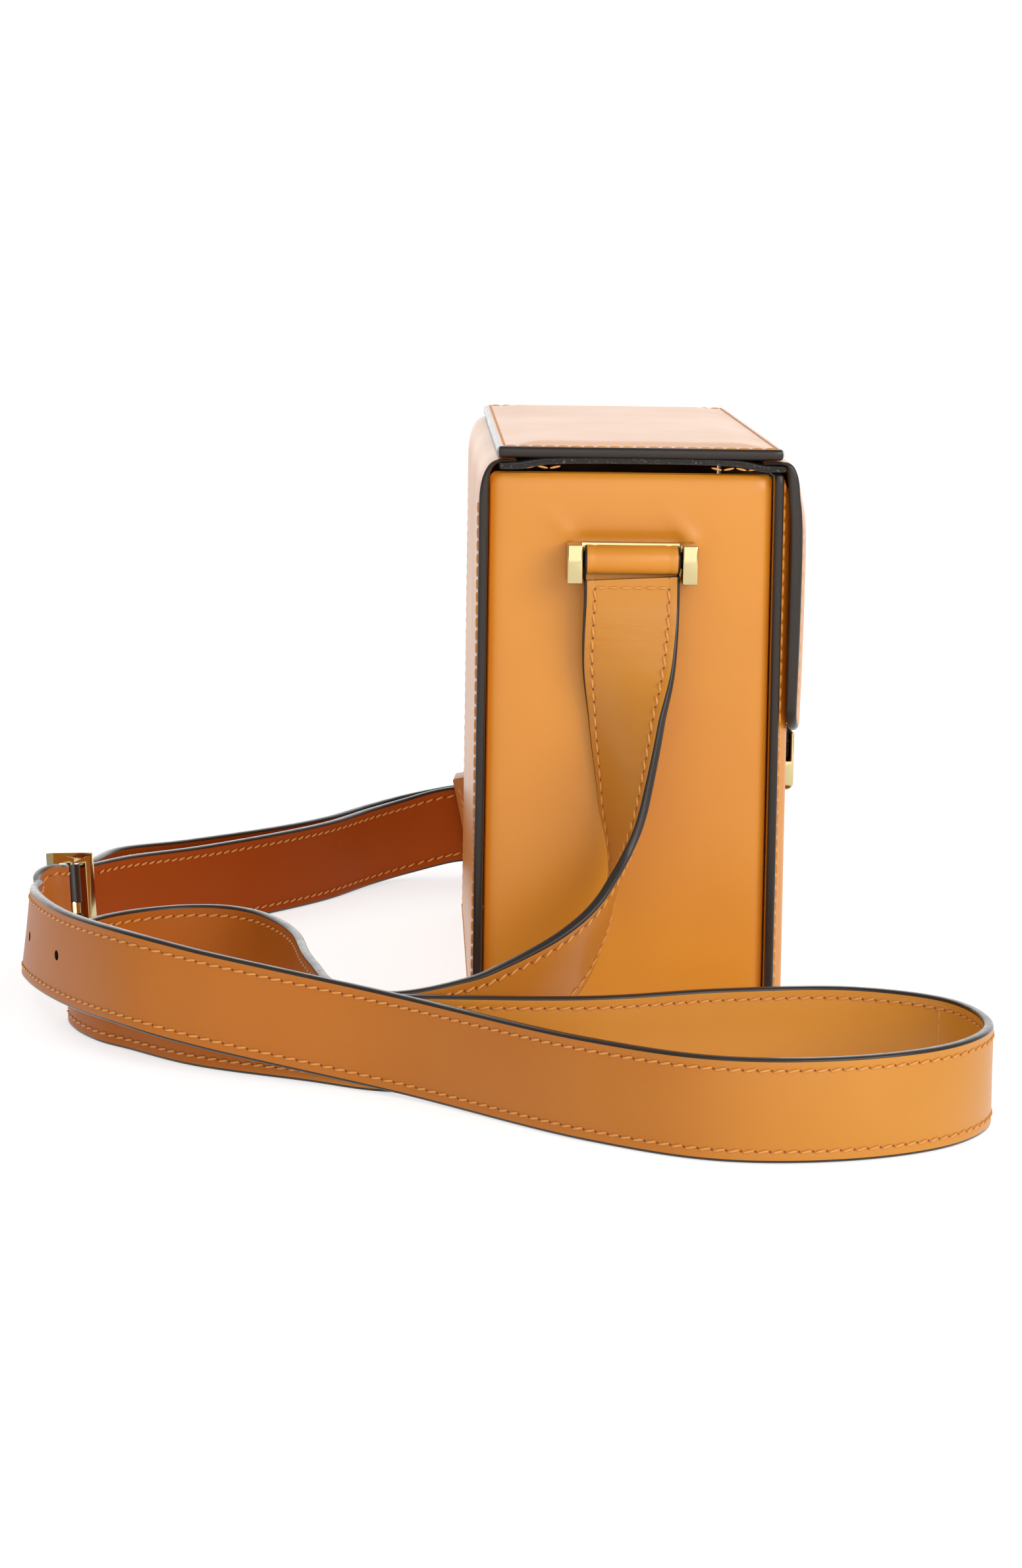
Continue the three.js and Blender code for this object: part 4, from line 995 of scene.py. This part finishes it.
def ribbon(frames, wall=STRAP_WALL, width=STRAP_WIDTH, slant=0.0, tip=0.0, first=0.0):
    """A strap through its frames. slant lowers one corner of its start; tip rounds its loose end."""
    radius = min(sizes().edge_round, wall / 2)
    section = strap_section(wall, width, radius)
    total = frames[-1].run
    rings = []
    for i, one in enumerate(frames):
        past = max(0.0, one.run - (total - tip)) / tip if tip else 0.0
        narrow = max(0.12, math.sqrt(max(0.0, 1 - past * past)))
        ring = []
        for f, w, _ in section:
            point = one.at + one.face * f + one.width * (w * narrow)
            if i == 0:
                point += one.along * slant * (0.5 - w / width)
            ring.append(point)
        rings.append(ring)
    painted = [flag for _, _, flag in section]
    count = len(section)
    return loft(rings, lambda i, j: 1 if painted[j % count] else 0,
                lambda i, j: (first + frames[i].run, section[j % count][1]))


# Thread

def placed(at, along, normal):
    """The place of a stitch that lies along one direction, with another one up."""
    along = along.normalized()
    side = normal.cross(along).normalized()
    turn = Matrix((along, side, along.cross(side))).transposed().to_4x4()
    return Matrix.Translation(at) @ turn


def thread_rows(name, places):
    """One piece of thread with a stitch at each place, every stitch a rounded capsule."""
    shape = bmesh.new()
    bmesh.ops.create_uvsphere(shape, u_segments=6, v_segments=5, radius=0.5)
    bmesh.ops.rotate(shape, verts=shape.verts, matrix=Matrix.Rotation(math.pi / 2, 3, "Y"))
    bmesh.ops.scale(shape, verts=shape.verts, vec=(
        sizes().stitch_length, sizes().thread, sizes().thread * 0.9))
    stitch = bpy.data.meshes.new(name + "_one")
    shape.to_mesh(stitch)
    shape.free()
    bm = bmesh.new()
    for place in places:
        stitch.transform(place)
        bm.from_mesh(stitch)
        stitch.transform(place.inverted())
    bpy.data.meshes.remove(stitch)
    return finish(name, bm, [waxed_thread()], (), sharp=180)


def strap_stitches(frames, first, last):
    """Places of the two rows on both the strap's faces, from one run to another."""
    pitch = sizes().stitch_pitch
    row = STRAP_WIDTH / 2 - sizes().stitch_margin
    places = []
    for k in range(math.ceil(first / pitch), int(last / pitch)):
        one = frame_at(frames, (k + 0.5) * pitch)
        for way in (-1, 1):
            up = one.face * way
            proud = STRAP_WALL / 2 - STITCH_DIP + sizes().thread * 0.18
            for side in (-1, 1):
                at = one.at + up * proud + one.width * (side * row)
                tilt = Matrix.Rotation(math.radians(STRAP_TILT), 3, up)
                places.append(placed(at, tilt @ one.along, up))
    return places


def row_between(start, end, normal, tilt=0.0):
    """Places of a straight row of stitches between two points, each turned by a tilt in degrees."""
    run = end - start
    count = max(1, round(run.length / sizes().stitch_pitch))
    turn = Matrix.Rotation(math.radians(tilt), 3, normal)
    return [placed(start + run * ((k + 0.5) / count), turn @ run, normal) for k in range(count)]


def cross_row(frames, run, rise):
    """A row across both faces of the strap, its thread a little above or below the leather."""
    one = frame_at(frames, run)
    row = STRAP_WIDTH / 2 - sizes().stitch_margin
    places = []
    for way in (-1, 1):
        up = one.face * way
        level = one.at + up * (STRAP_WALL / 2 + rise)
        places += row_between(level - one.width * row, level + one.width * row, up)
    return places


def board_row(width, height, level, place, inset):
    """Places of the stitches round a panel's edge."""
    half_w, half_h = width / 2 - inset, height / 2 - inset
    corners = [Vector((x * half_w, y * half_h, level)) for x, y in ((-1, -1), (1, -1), (1, 1), (-1, 1))]
    places = []
    for i in range(4):
        places += row_between(corners[i], corners[(i + 1) % 4], Z, PANEL_TILT)
    return [place @ one for one in places]


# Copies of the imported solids

def merged(node):
    """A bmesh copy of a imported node, with its doubled vertices merged."""
    source = bpy.data.objects[node]
    bm = bmesh.new()
    bm.from_mesh(source.data)
    bmesh.ops.transform(bm, matrix=source.matrix_world, verts=bm.verts)
    bmesh.ops.remove_doubles(bm, verts=bm.verts, dist=1e-6)
    bmesh.ops.recalc_face_normals(bm, faces=bm.faces)
    bmesh.ops.dissolve_limit(bm, angle_limit=math.radians(1), verts=bm.verts, edges=bm.edges)
    return bm


def softened(node, width, along=None, more=0.0):
    """A merged copy whose corners are rounded by a width, those that run along a direction by more."""
    def follows(edge):
        way = (edge.verts[1].co - edge.verts[0].co).normalized()
        return along is not None and abs(way.dot(along)) > 0.98

    bm = merged(node)
    for offset, chosen in ((more, True), (width, False)):
        corners = [edge for edge in bm.edges if len(edge.link_faces) == 2
                   and edge.calc_face_angle(0.0) > math.radians(25) and follows(edge) == chosen]
        bmesh.ops.bevel(bm, geom=corners, offset=offset, affect="EDGES", segments=3, profile=0.5,
                        material=-1, clamp_overlap=True)
    return bm


# Pieces

def crown(width, height, rise, margin, run):
    """The rise of a front or lid panel: flat up to its stitches, then crowned."""
    def at(x, y):
        inset = min(width / 2 - abs(x), height / 2 - abs(y))
        return rise * math.sin(smoothstep(margin, margin + run, inset) * math.pi / 2)
    return at


def pucker(x, y):
    """The side panel's pull towards the bracket, in panel coordinates: a ridge from each upper
    corner of the bracket, both leaning the same way, and a hollow between them."""
    top = BRACKET_HIGH.z - (SIDE_LOW.z + SIDE_HIGH.z) / 2
    half = BRACKET_HIGH.x
    lift = 0.0
    for side in (-1, 1):
        foot = Vector((side * (half - 1.2 * MM), top + 0.5 * MM))
        share = max(0.0, min(1.0, (Vector((x, y)) - foot).dot(RIDGE_WAY) / RIDGE_WAY.length_squared))
        off = (Vector((x, y)) - foot - RIDGE_WAY * share).length
        lift += RIDGE_RISE * math.exp(-(off / RIDGE_WIDTH) ** 2) * (1 - 0.75 * share)
    between = smoothstep(half, half - 4 * MM, abs(x + 2 * MM))
    hollow = math.exp(-((y - top - 0.4 * MM) / HOLLOW_WIDTH) ** 2) * between
    return lift - HOLLOW_DROP * hollow


def build_front_panel():
    width, height = 2 * HALF_LENGTH, BODY_HEIGHT
    rise = crown(width, height, FRONT_HIGH.x - FRONT_LOW.x - PANEL_WALL, 0.7 * MM, 8 * MM)
    place = standing(Y, Z, Vector((FRONT_LOW.x, 0, height / 2)))
    bm = board(width, height, BOARD_CORNER, PANEL_WALL, rise, FRONT_EDGE, FRONT_STEPS, place)
    piece = finish("front_board", bm, [smooth_calf(), edge_paint()], ["front_panel"])
    level = PANEL_WALL + rise(0, height / 2 - FRONT_ROW)
    thread_rows("front_board_thread", board_row(width, height, level, place, FRONT_ROW))


def build_side_panel(name, x_way):
    """A padded side panel, whose own X runs along x_way."""
    low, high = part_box(name)
    width, height = high.x - low.x, high.z - low.z
    pillow, run = sizes().pillow_depth, sizes().pillow_run
    rim = high.y - low.y - pillow

    def swell(inset, reach, power):
        return math.sqrt(1 - (1 - min(1.0, max(0.0, inset / reach))) ** power)

    def rise(x, y):
        """The padding's height: firm close to its edge, soft further in, and pulled to the bracket."""
        inset, _ = inset_of(x, y, width, height, PILLOW_CORNER)
        firm = swell(inset, run, 2.4)
        soft = swell(width / 2 - abs(x), 3 * run, 2) * swell(height / 2 - abs(y), 3 * run, 2)
        padding = (pillow - PILLOW_SPARE) * (FIRM_SHARE * firm + (1 - FIRM_SHARE) * soft)
        return padding + pucker(x, y) * min(1.0, inset / run)

    back = high.y if x_way.cross(Z).y < 0 else low.y
    place = standing(x_way, Z, Vector((0, back, (low.z + high.z) / 2)))
    bm = board(width, height, SIDE_CORNER, rim, rise, SIDE_EDGE, SIDE_STEPS, place)
    piece = finish(name + "_pad", bm, [smooth_calf(), smooth_calf()], [name])


def build_base():
    node = bpy.data.objects["bottom_panel"]
    for slot in node.material_slots:
        slot.material = smooth_calf()


def back_line(_):
    """The back panel's section, the same all along the bag: flat, then curled into the lid's fold."""
    fold = LID_LOW.z - CLEARANCE - FOLD_WALL / 2
    middle = -HALF_DEPTH + PANEL_WALL / 2
    line = [(middle, k * 26 * MM, PANEL_WALL) for k in range(6)]
    return line + [(middle + row.forward * CURL_REACH, fold - row.down * CURL_DROP,
                    PANEL_WALL * row.wall) for row in CURL]


def build_back_panel():
    stations = rounded_ends(HALF_LENGTH, SHEET_ROUND, 12)
    bm = sheet(back_line, stations, painted_edges(stations))
    finish("back_board", bm, [smooth_calf(), edge_paint()], ["back_panel"])
    places = []
    half = HALF_LENGTH - BACK_ROW
    foot, top = 3 * MM, LID_LOW.z - CURL_DROP - 2 * MM
    # The near row stands a little proud, where it shows against the light; the far one is drawn in.
    for side, proud in ((-1, 0.22 * MM), (1, -0.2 * MM)):
        outside, y = -HALF_DEPTH - proud, side * half
        places += row_between(Vector((outside, y, foot)), Vector((outside, y, top)), -X, PANEL_TILT)
    places += row_between(Vector((-HALF_DEPTH, -half, foot)), Vector((-HALF_DEPTH, half, foot)), -X,
                          PANEL_TILT)
    thread_rows("back_board_thread", places)


def build_lid():
    width, height = LID_HIGH.x - LID_LOW.x, 2 * HALF_LENGTH
    rise = crown(width, height, LID_HIGH.z - LID_LOW.z - LID_WALL, STITCH_MARGIN, 12 * MM)
    place = standing(X, Y, Vector(((LID_LOW.x + LID_HIGH.x) / 2, 0, LID_LOW.z)))
    bm = board(width, height, BOARD_CORNER, LID_WALL, rise, LID_EDGE, LID_STEPS, place)
    piece = finish("lid_board", bm, [smooth_calf(), edge_paint()], ["lid_top"])
    thread_rows("lid_board_thread", board_row(width, height, LID_WALL, place, LID_ROW))


def liner_line(_):
    """The lining's section, the same all along the bag: low at both its edges, high between."""
    high = LID_LOW.z - CLEARANCE - LINER_WALL / 2
    fold = LID_LOW.z - CLEARANCE - FOLD_WALL / 2
    low = fold - FOLD_WALL / 2 - 1.6 * CLEARANCE - LINER_WALL / 2
    line = []
    for start, way in ((LINER_LOW.x, 1), (LINER_HIGH.x, -1)):
        end = [(start + way * row.along * LINER_REACH, high - row.drop * (high - low), LINER_WALL)
               for row in LINER]
        line += end if way > 0 else end[::-1]
    return line


def build_liner():
    stations = rounded_ends(HALF_LENGTH - 0.3 * MM, 0.5 * MM, 12)
    bm = sheet(liner_line, stations)
    finish("lid_lining", bm, [black_suede()], ["lid_liner"])
    # A few stitches show under the lining's edge near its corners.
    places = []
    count, ends, level = 21, 3 * MM, LINER_LOW.z + 0.65 * MM
    for side in (-1, 1):
        y = side * (HALF_LENGTH - 1.1 * MM)
        for k in range(count):
            x = LINER_LOW.x + ends + (LINER_HIGH.x - LINER_LOW.x - 2 * ends) * (k + 0.5) / count
            if abs(x) > 20 * MM:
                along = Vector((1, 0, 0.2 if k % 2 else -0.2))
                places.append(placed(Vector((x, y, level)), along, -Z))
    thread_rows("lid_lining_thread", places)


def flap_line(y):
    """The flap's section at one place along the bag: over the fold, then down its domed face."""
    fold = LID_LOW.z - CLEARANCE - FOLD_WALL / 2
    bend_drop = LID_LOW.z - BODY_HEIGHT + FLAP_BEND_EXTRA
    bend_out = CLEARANCE + FLAP_WALL
    hang_top = fold - bend_drop
    bottom = FLAP_LOW.z + FLAP_WALL / 2
    inward = (HALF_LENGTH - abs(y)) / HALF_LENGTH
    dome = FLAP_DOME * mix(FLAP_SIDES, "inward", "dome", inward)
    corner = max(0.0, FLAP_CORNER - (HALF_LENGTH - abs(y)))
    bottom += FLAP_CORNER - math.sqrt(FLAP_CORNER ** 2 - corner ** 2)
    line = [(HALF_DEPTH + row.out * bend_out + row.dome * dome, fold - row.down * bend_drop,
             FLAP_WALL * row.wall) for row in FLAP_BEND]
    return line + [(HALF_DEPTH + row.out * bend_out + row.dome * dome,
                    hang_top + (bottom - hang_top) * row.share, FLAP_WALL * row.wall)
                   for row in FLAP_HANG]


def build_flap():
    edge = rounded_ends(HALF_LENGTH, SHEET_ROUND, 2)[:END_STEPS + 1]
    inner = [(-HALF_LENGTH * (1 - share), 0.0) for share in FLAP_STATIONS]
    half = edge + inner
    stations = half + [(-y, inset) for y, inset in reversed(half[:-1])]
    bm = sheet(flap_line, stations, painted_edges(stations))
    finish("flap_board", bm, [smooth_calf(), edge_paint()], ["front_flap"])
    places = []
    for side in (-1, 1):
        y = side * (HALF_LENGTH - FLAP_ROW)
        points = [Vector(p) for p in flap_line(y)]
        fine = [spline(points, k / 4) for k in range(3 * 4, (len(points) - 1) * 4 + 1)]
        outer = []
        for i in range(1, len(fine) - 1):
            way = Vector((fine[i + 1].x - fine[i - 1].x, fine[i + 1].y - fine[i - 1].y)).normalized()
            reach = fine[i].z / 2 - 0.2 * MM
            outer.append(Vector((fine[i].x - way.y * reach, y, fine[i].y + way.x * reach)))
        for a, b in zip(outer, outer[1:]):
            if (b - a).length > 0.5 * sizes().stitch_pitch:
                normal = Vector((a.z - b.z, 0, b.x - a.x)).normalized()
                places += row_between(a, b, normal, PANEL_TILT)
    thread_rows("flap_thread", places)


def build_clasp():
    finish("clasp_bar", softened("clasp_hook", 0.3 * MM), [plated_brass()], ["clasp_hook"])
    tucked = HOOK_HIGH.x - HOOK_LIP_WALL - CLEARANCE - TONGUE_WALL / 2
    behind = FRONT_HIGH.x + CLEARANCE + TONGUE_WALL / 2
    slot_floor = HOOK_LOW.z + HOOK_BLOCK + CLEARANCE + TONGUE_WALL / 2
    lip_top = HOOK_LOW.z + HOOK_LIP
    flap_end = FLAP_LOW.z
    line = [(behind, flap_end + TONGUE_HOLD, TONGUE_WALL), (behind, flap_end + CLEARANCE, TONGUE_WALL),
            ((behind + tucked) / 2, (flap_end + lip_top) / 2 - CLEARANCE, TONGUE_WALL),
            (tucked, lip_top - TONGUE_WALL, TONGUE_WALL), (tucked, slot_floor, TONGUE_WALL)]
    stations = rounded_ends(HOOK_HIGH.y - TONGUE_INSET, 0.7 * MM, 8)
    bm = sheet(lambda y: line, stations)
    finish("clasp_tab", bm, [black_suede()], ["clasp_tongue"])


def build_brackets():
    for name in ("near", "far"):
        finish("bracket_cast_" + name, softened("bracket_" + name, 0.4 * MM), [plated_brass()],
               ["bracket_" + name])


def build_end_loop(name, side):
    """The strap's end, folded round the bracket's bar with its tail behind the strap."""
    radius = BAR_RADIUS + CLEARANCE + LOOP_WALL / 2
    out = HALF_LENGTH - SIDE_INSET + BAR_REACH
    tail = HANG_OUT - STRAP_WALL / 2 - CLEARANCE - LOOP_WALL / 2 - BAR_REACH
    centre = Vector((0, side * out, BRACKET_Z + BAR_RISE))
    foot = Vector((0, side * (out + tail), LOOP_LOW.z))
    start = math.asin(min(1.0, -tail / radius))
    join = centre + Vector((0, side * tail, -radius * math.cos(start)))
    places = [foot.lerp(join, k / 3) for k in range(3)]
    for k in range(37):
        angle = -start - math.radians(336) * k / 36
        places.append(centre + Vector((0, side * math.sin(angle), -math.cos(angle))) * radius)
    frames, run = [], 0.0
    for i, at in enumerate(places):
        along = (places[min(i + 1, len(places) - 1)] - places[max(i - 1, 0)]).normalized()
        run += (at - places[i - 1]).length if i else 0.0
        frames.append(Frame(at, along, X, along.cross(X), run))
    bm = ribbon(frames, wall=LOOP_WALL)
    finish("strap_fold_" + name, bm, [smooth_calf(), edge_paint()], ["strap_end_loop_" + name])


def punch(piece, rods):
    """Cuts round holes through a strap with one exact boolean, which is applied."""
    bm = bmesh.new()
    for start, end, radius in rods:
        run = end - start
        turn = Z.rotation_difference(run.normalized()).to_matrix().to_4x4()
        place = Matrix.Translation((start + end) / 2) @ turn
        bmesh.ops.create_cone(bm, cap_ends=True, segments=20, radius1=radius, radius2=radius,
                              depth=run.length, matrix=place)
    mesh = bpy.data.meshes.new("hole_cutter")
    bm.to_mesh(mesh)
    bm.free()
    mesh.materials.append(edge_paint())
    cutter = bpy.data.objects.new("hole_cutter", mesh)
    bpy.context.scene.collection.objects.link(cutter)
    cut = piece.modifiers.new("holes", "BOOLEAN")
    cut.operation = "DIFFERENCE"
    cut.solver = "EXACT"
    cut.object = cutter
    cut.material_mode = "TRANSFER"
    done = bpy.data.meshes.new_from_object(piece.evaluated_get(bpy.context.evaluated_depsgraph_get()))
    piece.modifiers.clear()
    old = piece.data
    piece.data = done
    done.name = old.name + "_cut"
    bpy.data.meshes.remove(old)
    bpy.data.objects.remove(cutter)
    bpy.data.meshes.remove(mesh)


def build_straps():
    short = short_frames()
    keeper = keeper_run(short)
    long = long_frames(short, keeper)
    bm = ribbon(short, first=SHORT_FROM * sizes().stitch_pitch)
    finish("strap_short_leather", bm, [strap_calf(), edge_paint()], ["strap_short"])

    bm = ribbon(long, slant=1.3 * MM, tip=7 * MM)
    piece = finish("strap_long_leather", bm, [strap_calf(), edge_paint()], ["strap_long"])
    prong_start, prong_end = prong_ends()
    middle = prong_start.lerp(prong_end, 0.35)
    prong = min(long, key=lambda f: (f.at - middle).length).run
    rods = [(prong_start, prong_end, PRONG_RADIUS + CLEARANCE)]
    for k in range(-HOLES_BEFORE, HOLES_AFTER + 1):
        if k:
            one = frame_at(long, prong + k * HOLE_PITCH)
            rods.append((one.at - one.face * STRAP_WALL, one.at + one.face * STRAP_WALL, HOLE_RADIUS))
    punch(piece, rods)

    # The rows that cross it join two lengths of the strap and sew down each folded end.
    margin = 3 * MM
    thread_rows("strap_long_thread",
                strap_stitches(long, margin, long[-1].run - 8 * MM)
                + cross_row(long, SEAM_RUN, -STITCH_DIP)
                + cross_row(long, margin, BOX_ROW_RISE))
    thread_rows("strap_short_thread",
                strap_stitches(short, 14 * MM, short[-1].run - margin)
                + cross_row(short, short[-1].run - margin, BOX_ROW_RISE))


def prong_ends():
    """The prong's middle line, from the centre bar through the strap to the near rail."""
    start = in_buckle(-CENTRE_BAR_RADIUS - CLEARANCE, CENTRE_BAR_RADIUS + PRONG_WALL / 2)[0]
    end = in_buckle(-HALF_BUCKLE + 1 * MM, PRONG_OUT + PRONG_RADIUS)[0]
    return start, end


def build_keeper():
    """The band round both layers, sewn along its edges and butted together at its back."""
    finish("strap_band", softened("strap_keeper", 0.6 * MM), [smooth_strap()], ["strap_keeper"])
    short = short_frames()
    held = frame_at(short, keeper_run(short))
    up = Z * math.cos(KEEPER_TILT) - held.along * math.sin(KEEPER_TILT)
    way = up.cross(held.face)
    middle = held.at - held.face * (LAYER_STEP / 2)
    depth = STRAP_WALL + LAYER_GAP / 2 + KEEPER_PLAY + KEEPER_WALL + 0.05 * MM
    reach = STRAP_WIDTH / 2 + KEEPER_PLAY - 0.5 * MM
    inset = KEEPER_LENGTH / 2 - 1.7 * MM
    places = []
    for face in (-1, 1):
        out = held.face * face
        for side in (-1, 1):
            start = middle + out * depth + way * (side * inset)
            places += row_between(start - up * reach, start + up * reach, out, KEEPER_ROW_TILT)
    thread_rows("strap_band_thread", places)


def build_buckle():
    finish("buckle_cast", softened("buckle_frame", 0.3 * MM, along=BUCKLE_ALONG, more=0.85 * MM),
           [plated_brass()], ["buckle_frame"])
    finish("buckle_pin", merged("buckle_prong"), [plated_brass()], ["buckle_prong"])
    finish("buckle_fold", merged("buckle_loop"), [edge_paint()], ["buckle_loop"])
    build_keeper()


def glowing(name, grey, glow, inputs=()):
    """A white that shines by itself, for the studio's floor and its cards."""
    material, tree, shader = new_material(name)
    feed(tree, shader, {
        "Base Color": (grey, grey, grey, 1), "Emission Color": (1, 1, 1, 1),
        "Emission Strength": glow, **dict(inputs)})
    return material


def studio_sheet(name, half, place, material):
    """A flat square of the studio, which isn't part of the bag."""
    bm = bmesh.new()
    bmesh.ops.create_grid(bm, x_segments=1, y_segments=1, size=half, matrix=place)
    mesh = bpy.data.meshes.new(name)
    bm.to_mesh(mesh)
    bm.free()
    mesh.materials.append(material)
    piece = bpy.data.objects.new(name, mesh)
    bpy.context.scene.collection.objects.link(piece)


def build_stage():
    scene = bpy.context.scene
    world = bpy.data.worlds.new("studio")
    world.use_nodes = True
    feed(world.node_tree, world.node_tree.nodes["Background"], {"Color": (1, 1, 1, 1), "Strength": 0.5})
    scene.world = world
    scene.view_settings.view_transform = "Standard"

    matt = {"Roughness": 0.9, "Specular IOR Level": 0.0}
    upright = Matrix.Rotation(math.pi / 2, 4, "X")
    paper = glowing("backdrop_white", 0.8, 1.0)
    studio_sheet("floor", 4, Matrix.Translation((0, 0, -0.2 * MM)),
                 glowing("floor_white", 0.5, 0.68, matt))
    studio_sheet("backdrop", 4, Matrix.Translation((0, 3.6, 2.2)) @ upright, paper)
    # A card behind the camera, which the gold mirrors
    studio_sheet("white_card", 1.3, Matrix.Translation((-0.2, -2.5, 1.1)) @ upright, paper)

    light = bpy.data.lights.new("key", "AREA")
    light.shape = "RECTANGLE"
    light.size, light.size_y = 1.1, 0.9
    light.energy = 15
    key = bpy.data.objects.new("key", light)
    key.location = (1.0, -1.25, 0.75)
    key.rotation_euler = (Vector((0, 0, 0.08)) - key.location).to_track_quat("-Z", "Y").to_euler()
    scene.collection.objects.link(key)

    lens = bpy.data.cameras.new("camera")
    lens.lens, lens.sensor_width = 81.541, 36.0
    lens.shift_x, lens.shift_y = 0.0, -0.16
    lens.clip_start, lens.clip_end = 0.05, 20
    camera = bpy.data.objects.new("camera", lens)
    camera.matrix_world = (
        Matrix.Translation((-0.05956, -1.02573, 0.22965))
        @ Matrix.Rotation(math.radians(-1.690), 4, "Z")
        @ Matrix.Rotation(math.radians(90 - 5.553), 4, "X")
        @ Matrix.Rotation(math.radians(0.861), 4, "Z"))
    scene.collection.objects.link(camera)
    scene.camera = camera


# Operators and panel

class BAG_OT_stage(bpy.types.Operator):
    """Sets the white studio, its key light and the camera."""
    bl_idname = "bag.stage"
    bl_label = "Studio"

    def execute(self, context):
        build_stage()
        return {"FINISHED"}


class BAG_OT_panels(bpy.types.Operator):
    """Builds the padded front, side, back and base panels."""
    bl_idname = "bag.panels"
    bl_label = "Body Panels"

    def execute(self, context):
        build_front_panel()
        build_side_panel("side_panel_near", X)
        build_side_panel("side_panel_far", -X)
        build_back_panel()
        build_base()
        return {"FINISHED"}


class BAG_OT_lid(bpy.types.Operator):
    """Builds the lid, its lining and the front flap."""
    bl_idname = "bag.lid"
    bl_label = "Lid and Flap"

    def execute(self, context):
        build_lid()
        build_liner()
        build_flap()
        return {"FINISHED"}


class BAG_OT_clasp(bpy.types.Operator):
    """Builds the clasp's gold bar and its suede tab."""
    bl_idname = "bag.clasp"
    bl_label = "Clasp"

    def execute(self, context):
        build_clasp()
        return {"FINISHED"}


class BAG_OT_brackets(bpy.types.Operator):
    """Builds the strap brackets and the strap ends folded round their bars."""
    bl_idname = "bag.brackets"
    bl_label = "Brackets"

    def execute(self, context):
        build_brackets()
        build_end_loop("near", -1)
        build_end_loop("far", 1)
        return {"FINISHED"}


class BAG_OT_straps(bpy.types.Operator):
    """Builds both halves of the shoulder strap with their stitches and holes."""
    bl_idname = "bag.straps"
    bl_label = "Straps"

    def execute(self, context):
        build_straps()
        return {"FINISHED"}


class BAG_OT_buckle(bpy.types.Operator):
    """Builds the buckle, its prong and the keeper."""
    bl_idname = "bag.buckle"
    bl_label = "Buckle"

    def execute(self, context):
        build_buckle()
        return {"FINISHED"}


OPERATORS = (BAG_OT_stage, BAG_OT_panels, BAG_OT_lid, BAG_OT_clasp, BAG_OT_brackets, BAG_OT_straps,
             BAG_OT_buckle)


class BAG_PT_panel(bpy.types.Panel):
    """The bag's sizes, colours and builders."""
    bl_idname = "BAG_PT_panel"
    bl_label = "Box Bag"
    bl_space_type = "VIEW_3D"
    bl_region_type = "UI"
    bl_category = "Box Bag"

    def draw(self, context):
        for group in (context.scene.bag_sizes, context.scene.bag_colours):
            box = self.layout.box()
            for key in group.__annotations__:
                box.prop(group, key)
        for operator in OPERATORS:
            self.layout.operator(operator.bl_idname)


CLASSES = (BagSizes, BagColours, *OPERATORS, BAG_PT_panel)


def register():
    for one in CLASSES:
        bpy.utils.register_class(one)
    bpy.types.Scene.bag_sizes = bpy.props.PointerProperty(type=BagSizes)
    bpy.types.Scene.bag_colours = bpy.props.PointerProperty(type=BagColours)


def unregister():
    del bpy.types.Scene.bag_colours
    del bpy.types.Scene.bag_sizes
    for one in reversed(CLASSES):
        bpy.utils.unregister_class(one)


def main():
    register()
    bpy.ops.bag.stage()
    bpy.ops.bag.panels()
    bpy.ops.bag.lid()
    bpy.ops.bag.clasp()
    bpy.ops.bag.brackets()
    bpy.ops.bag.straps()
    bpy.ops.bag.buckle()


if __name__ == "__main__":
    main()
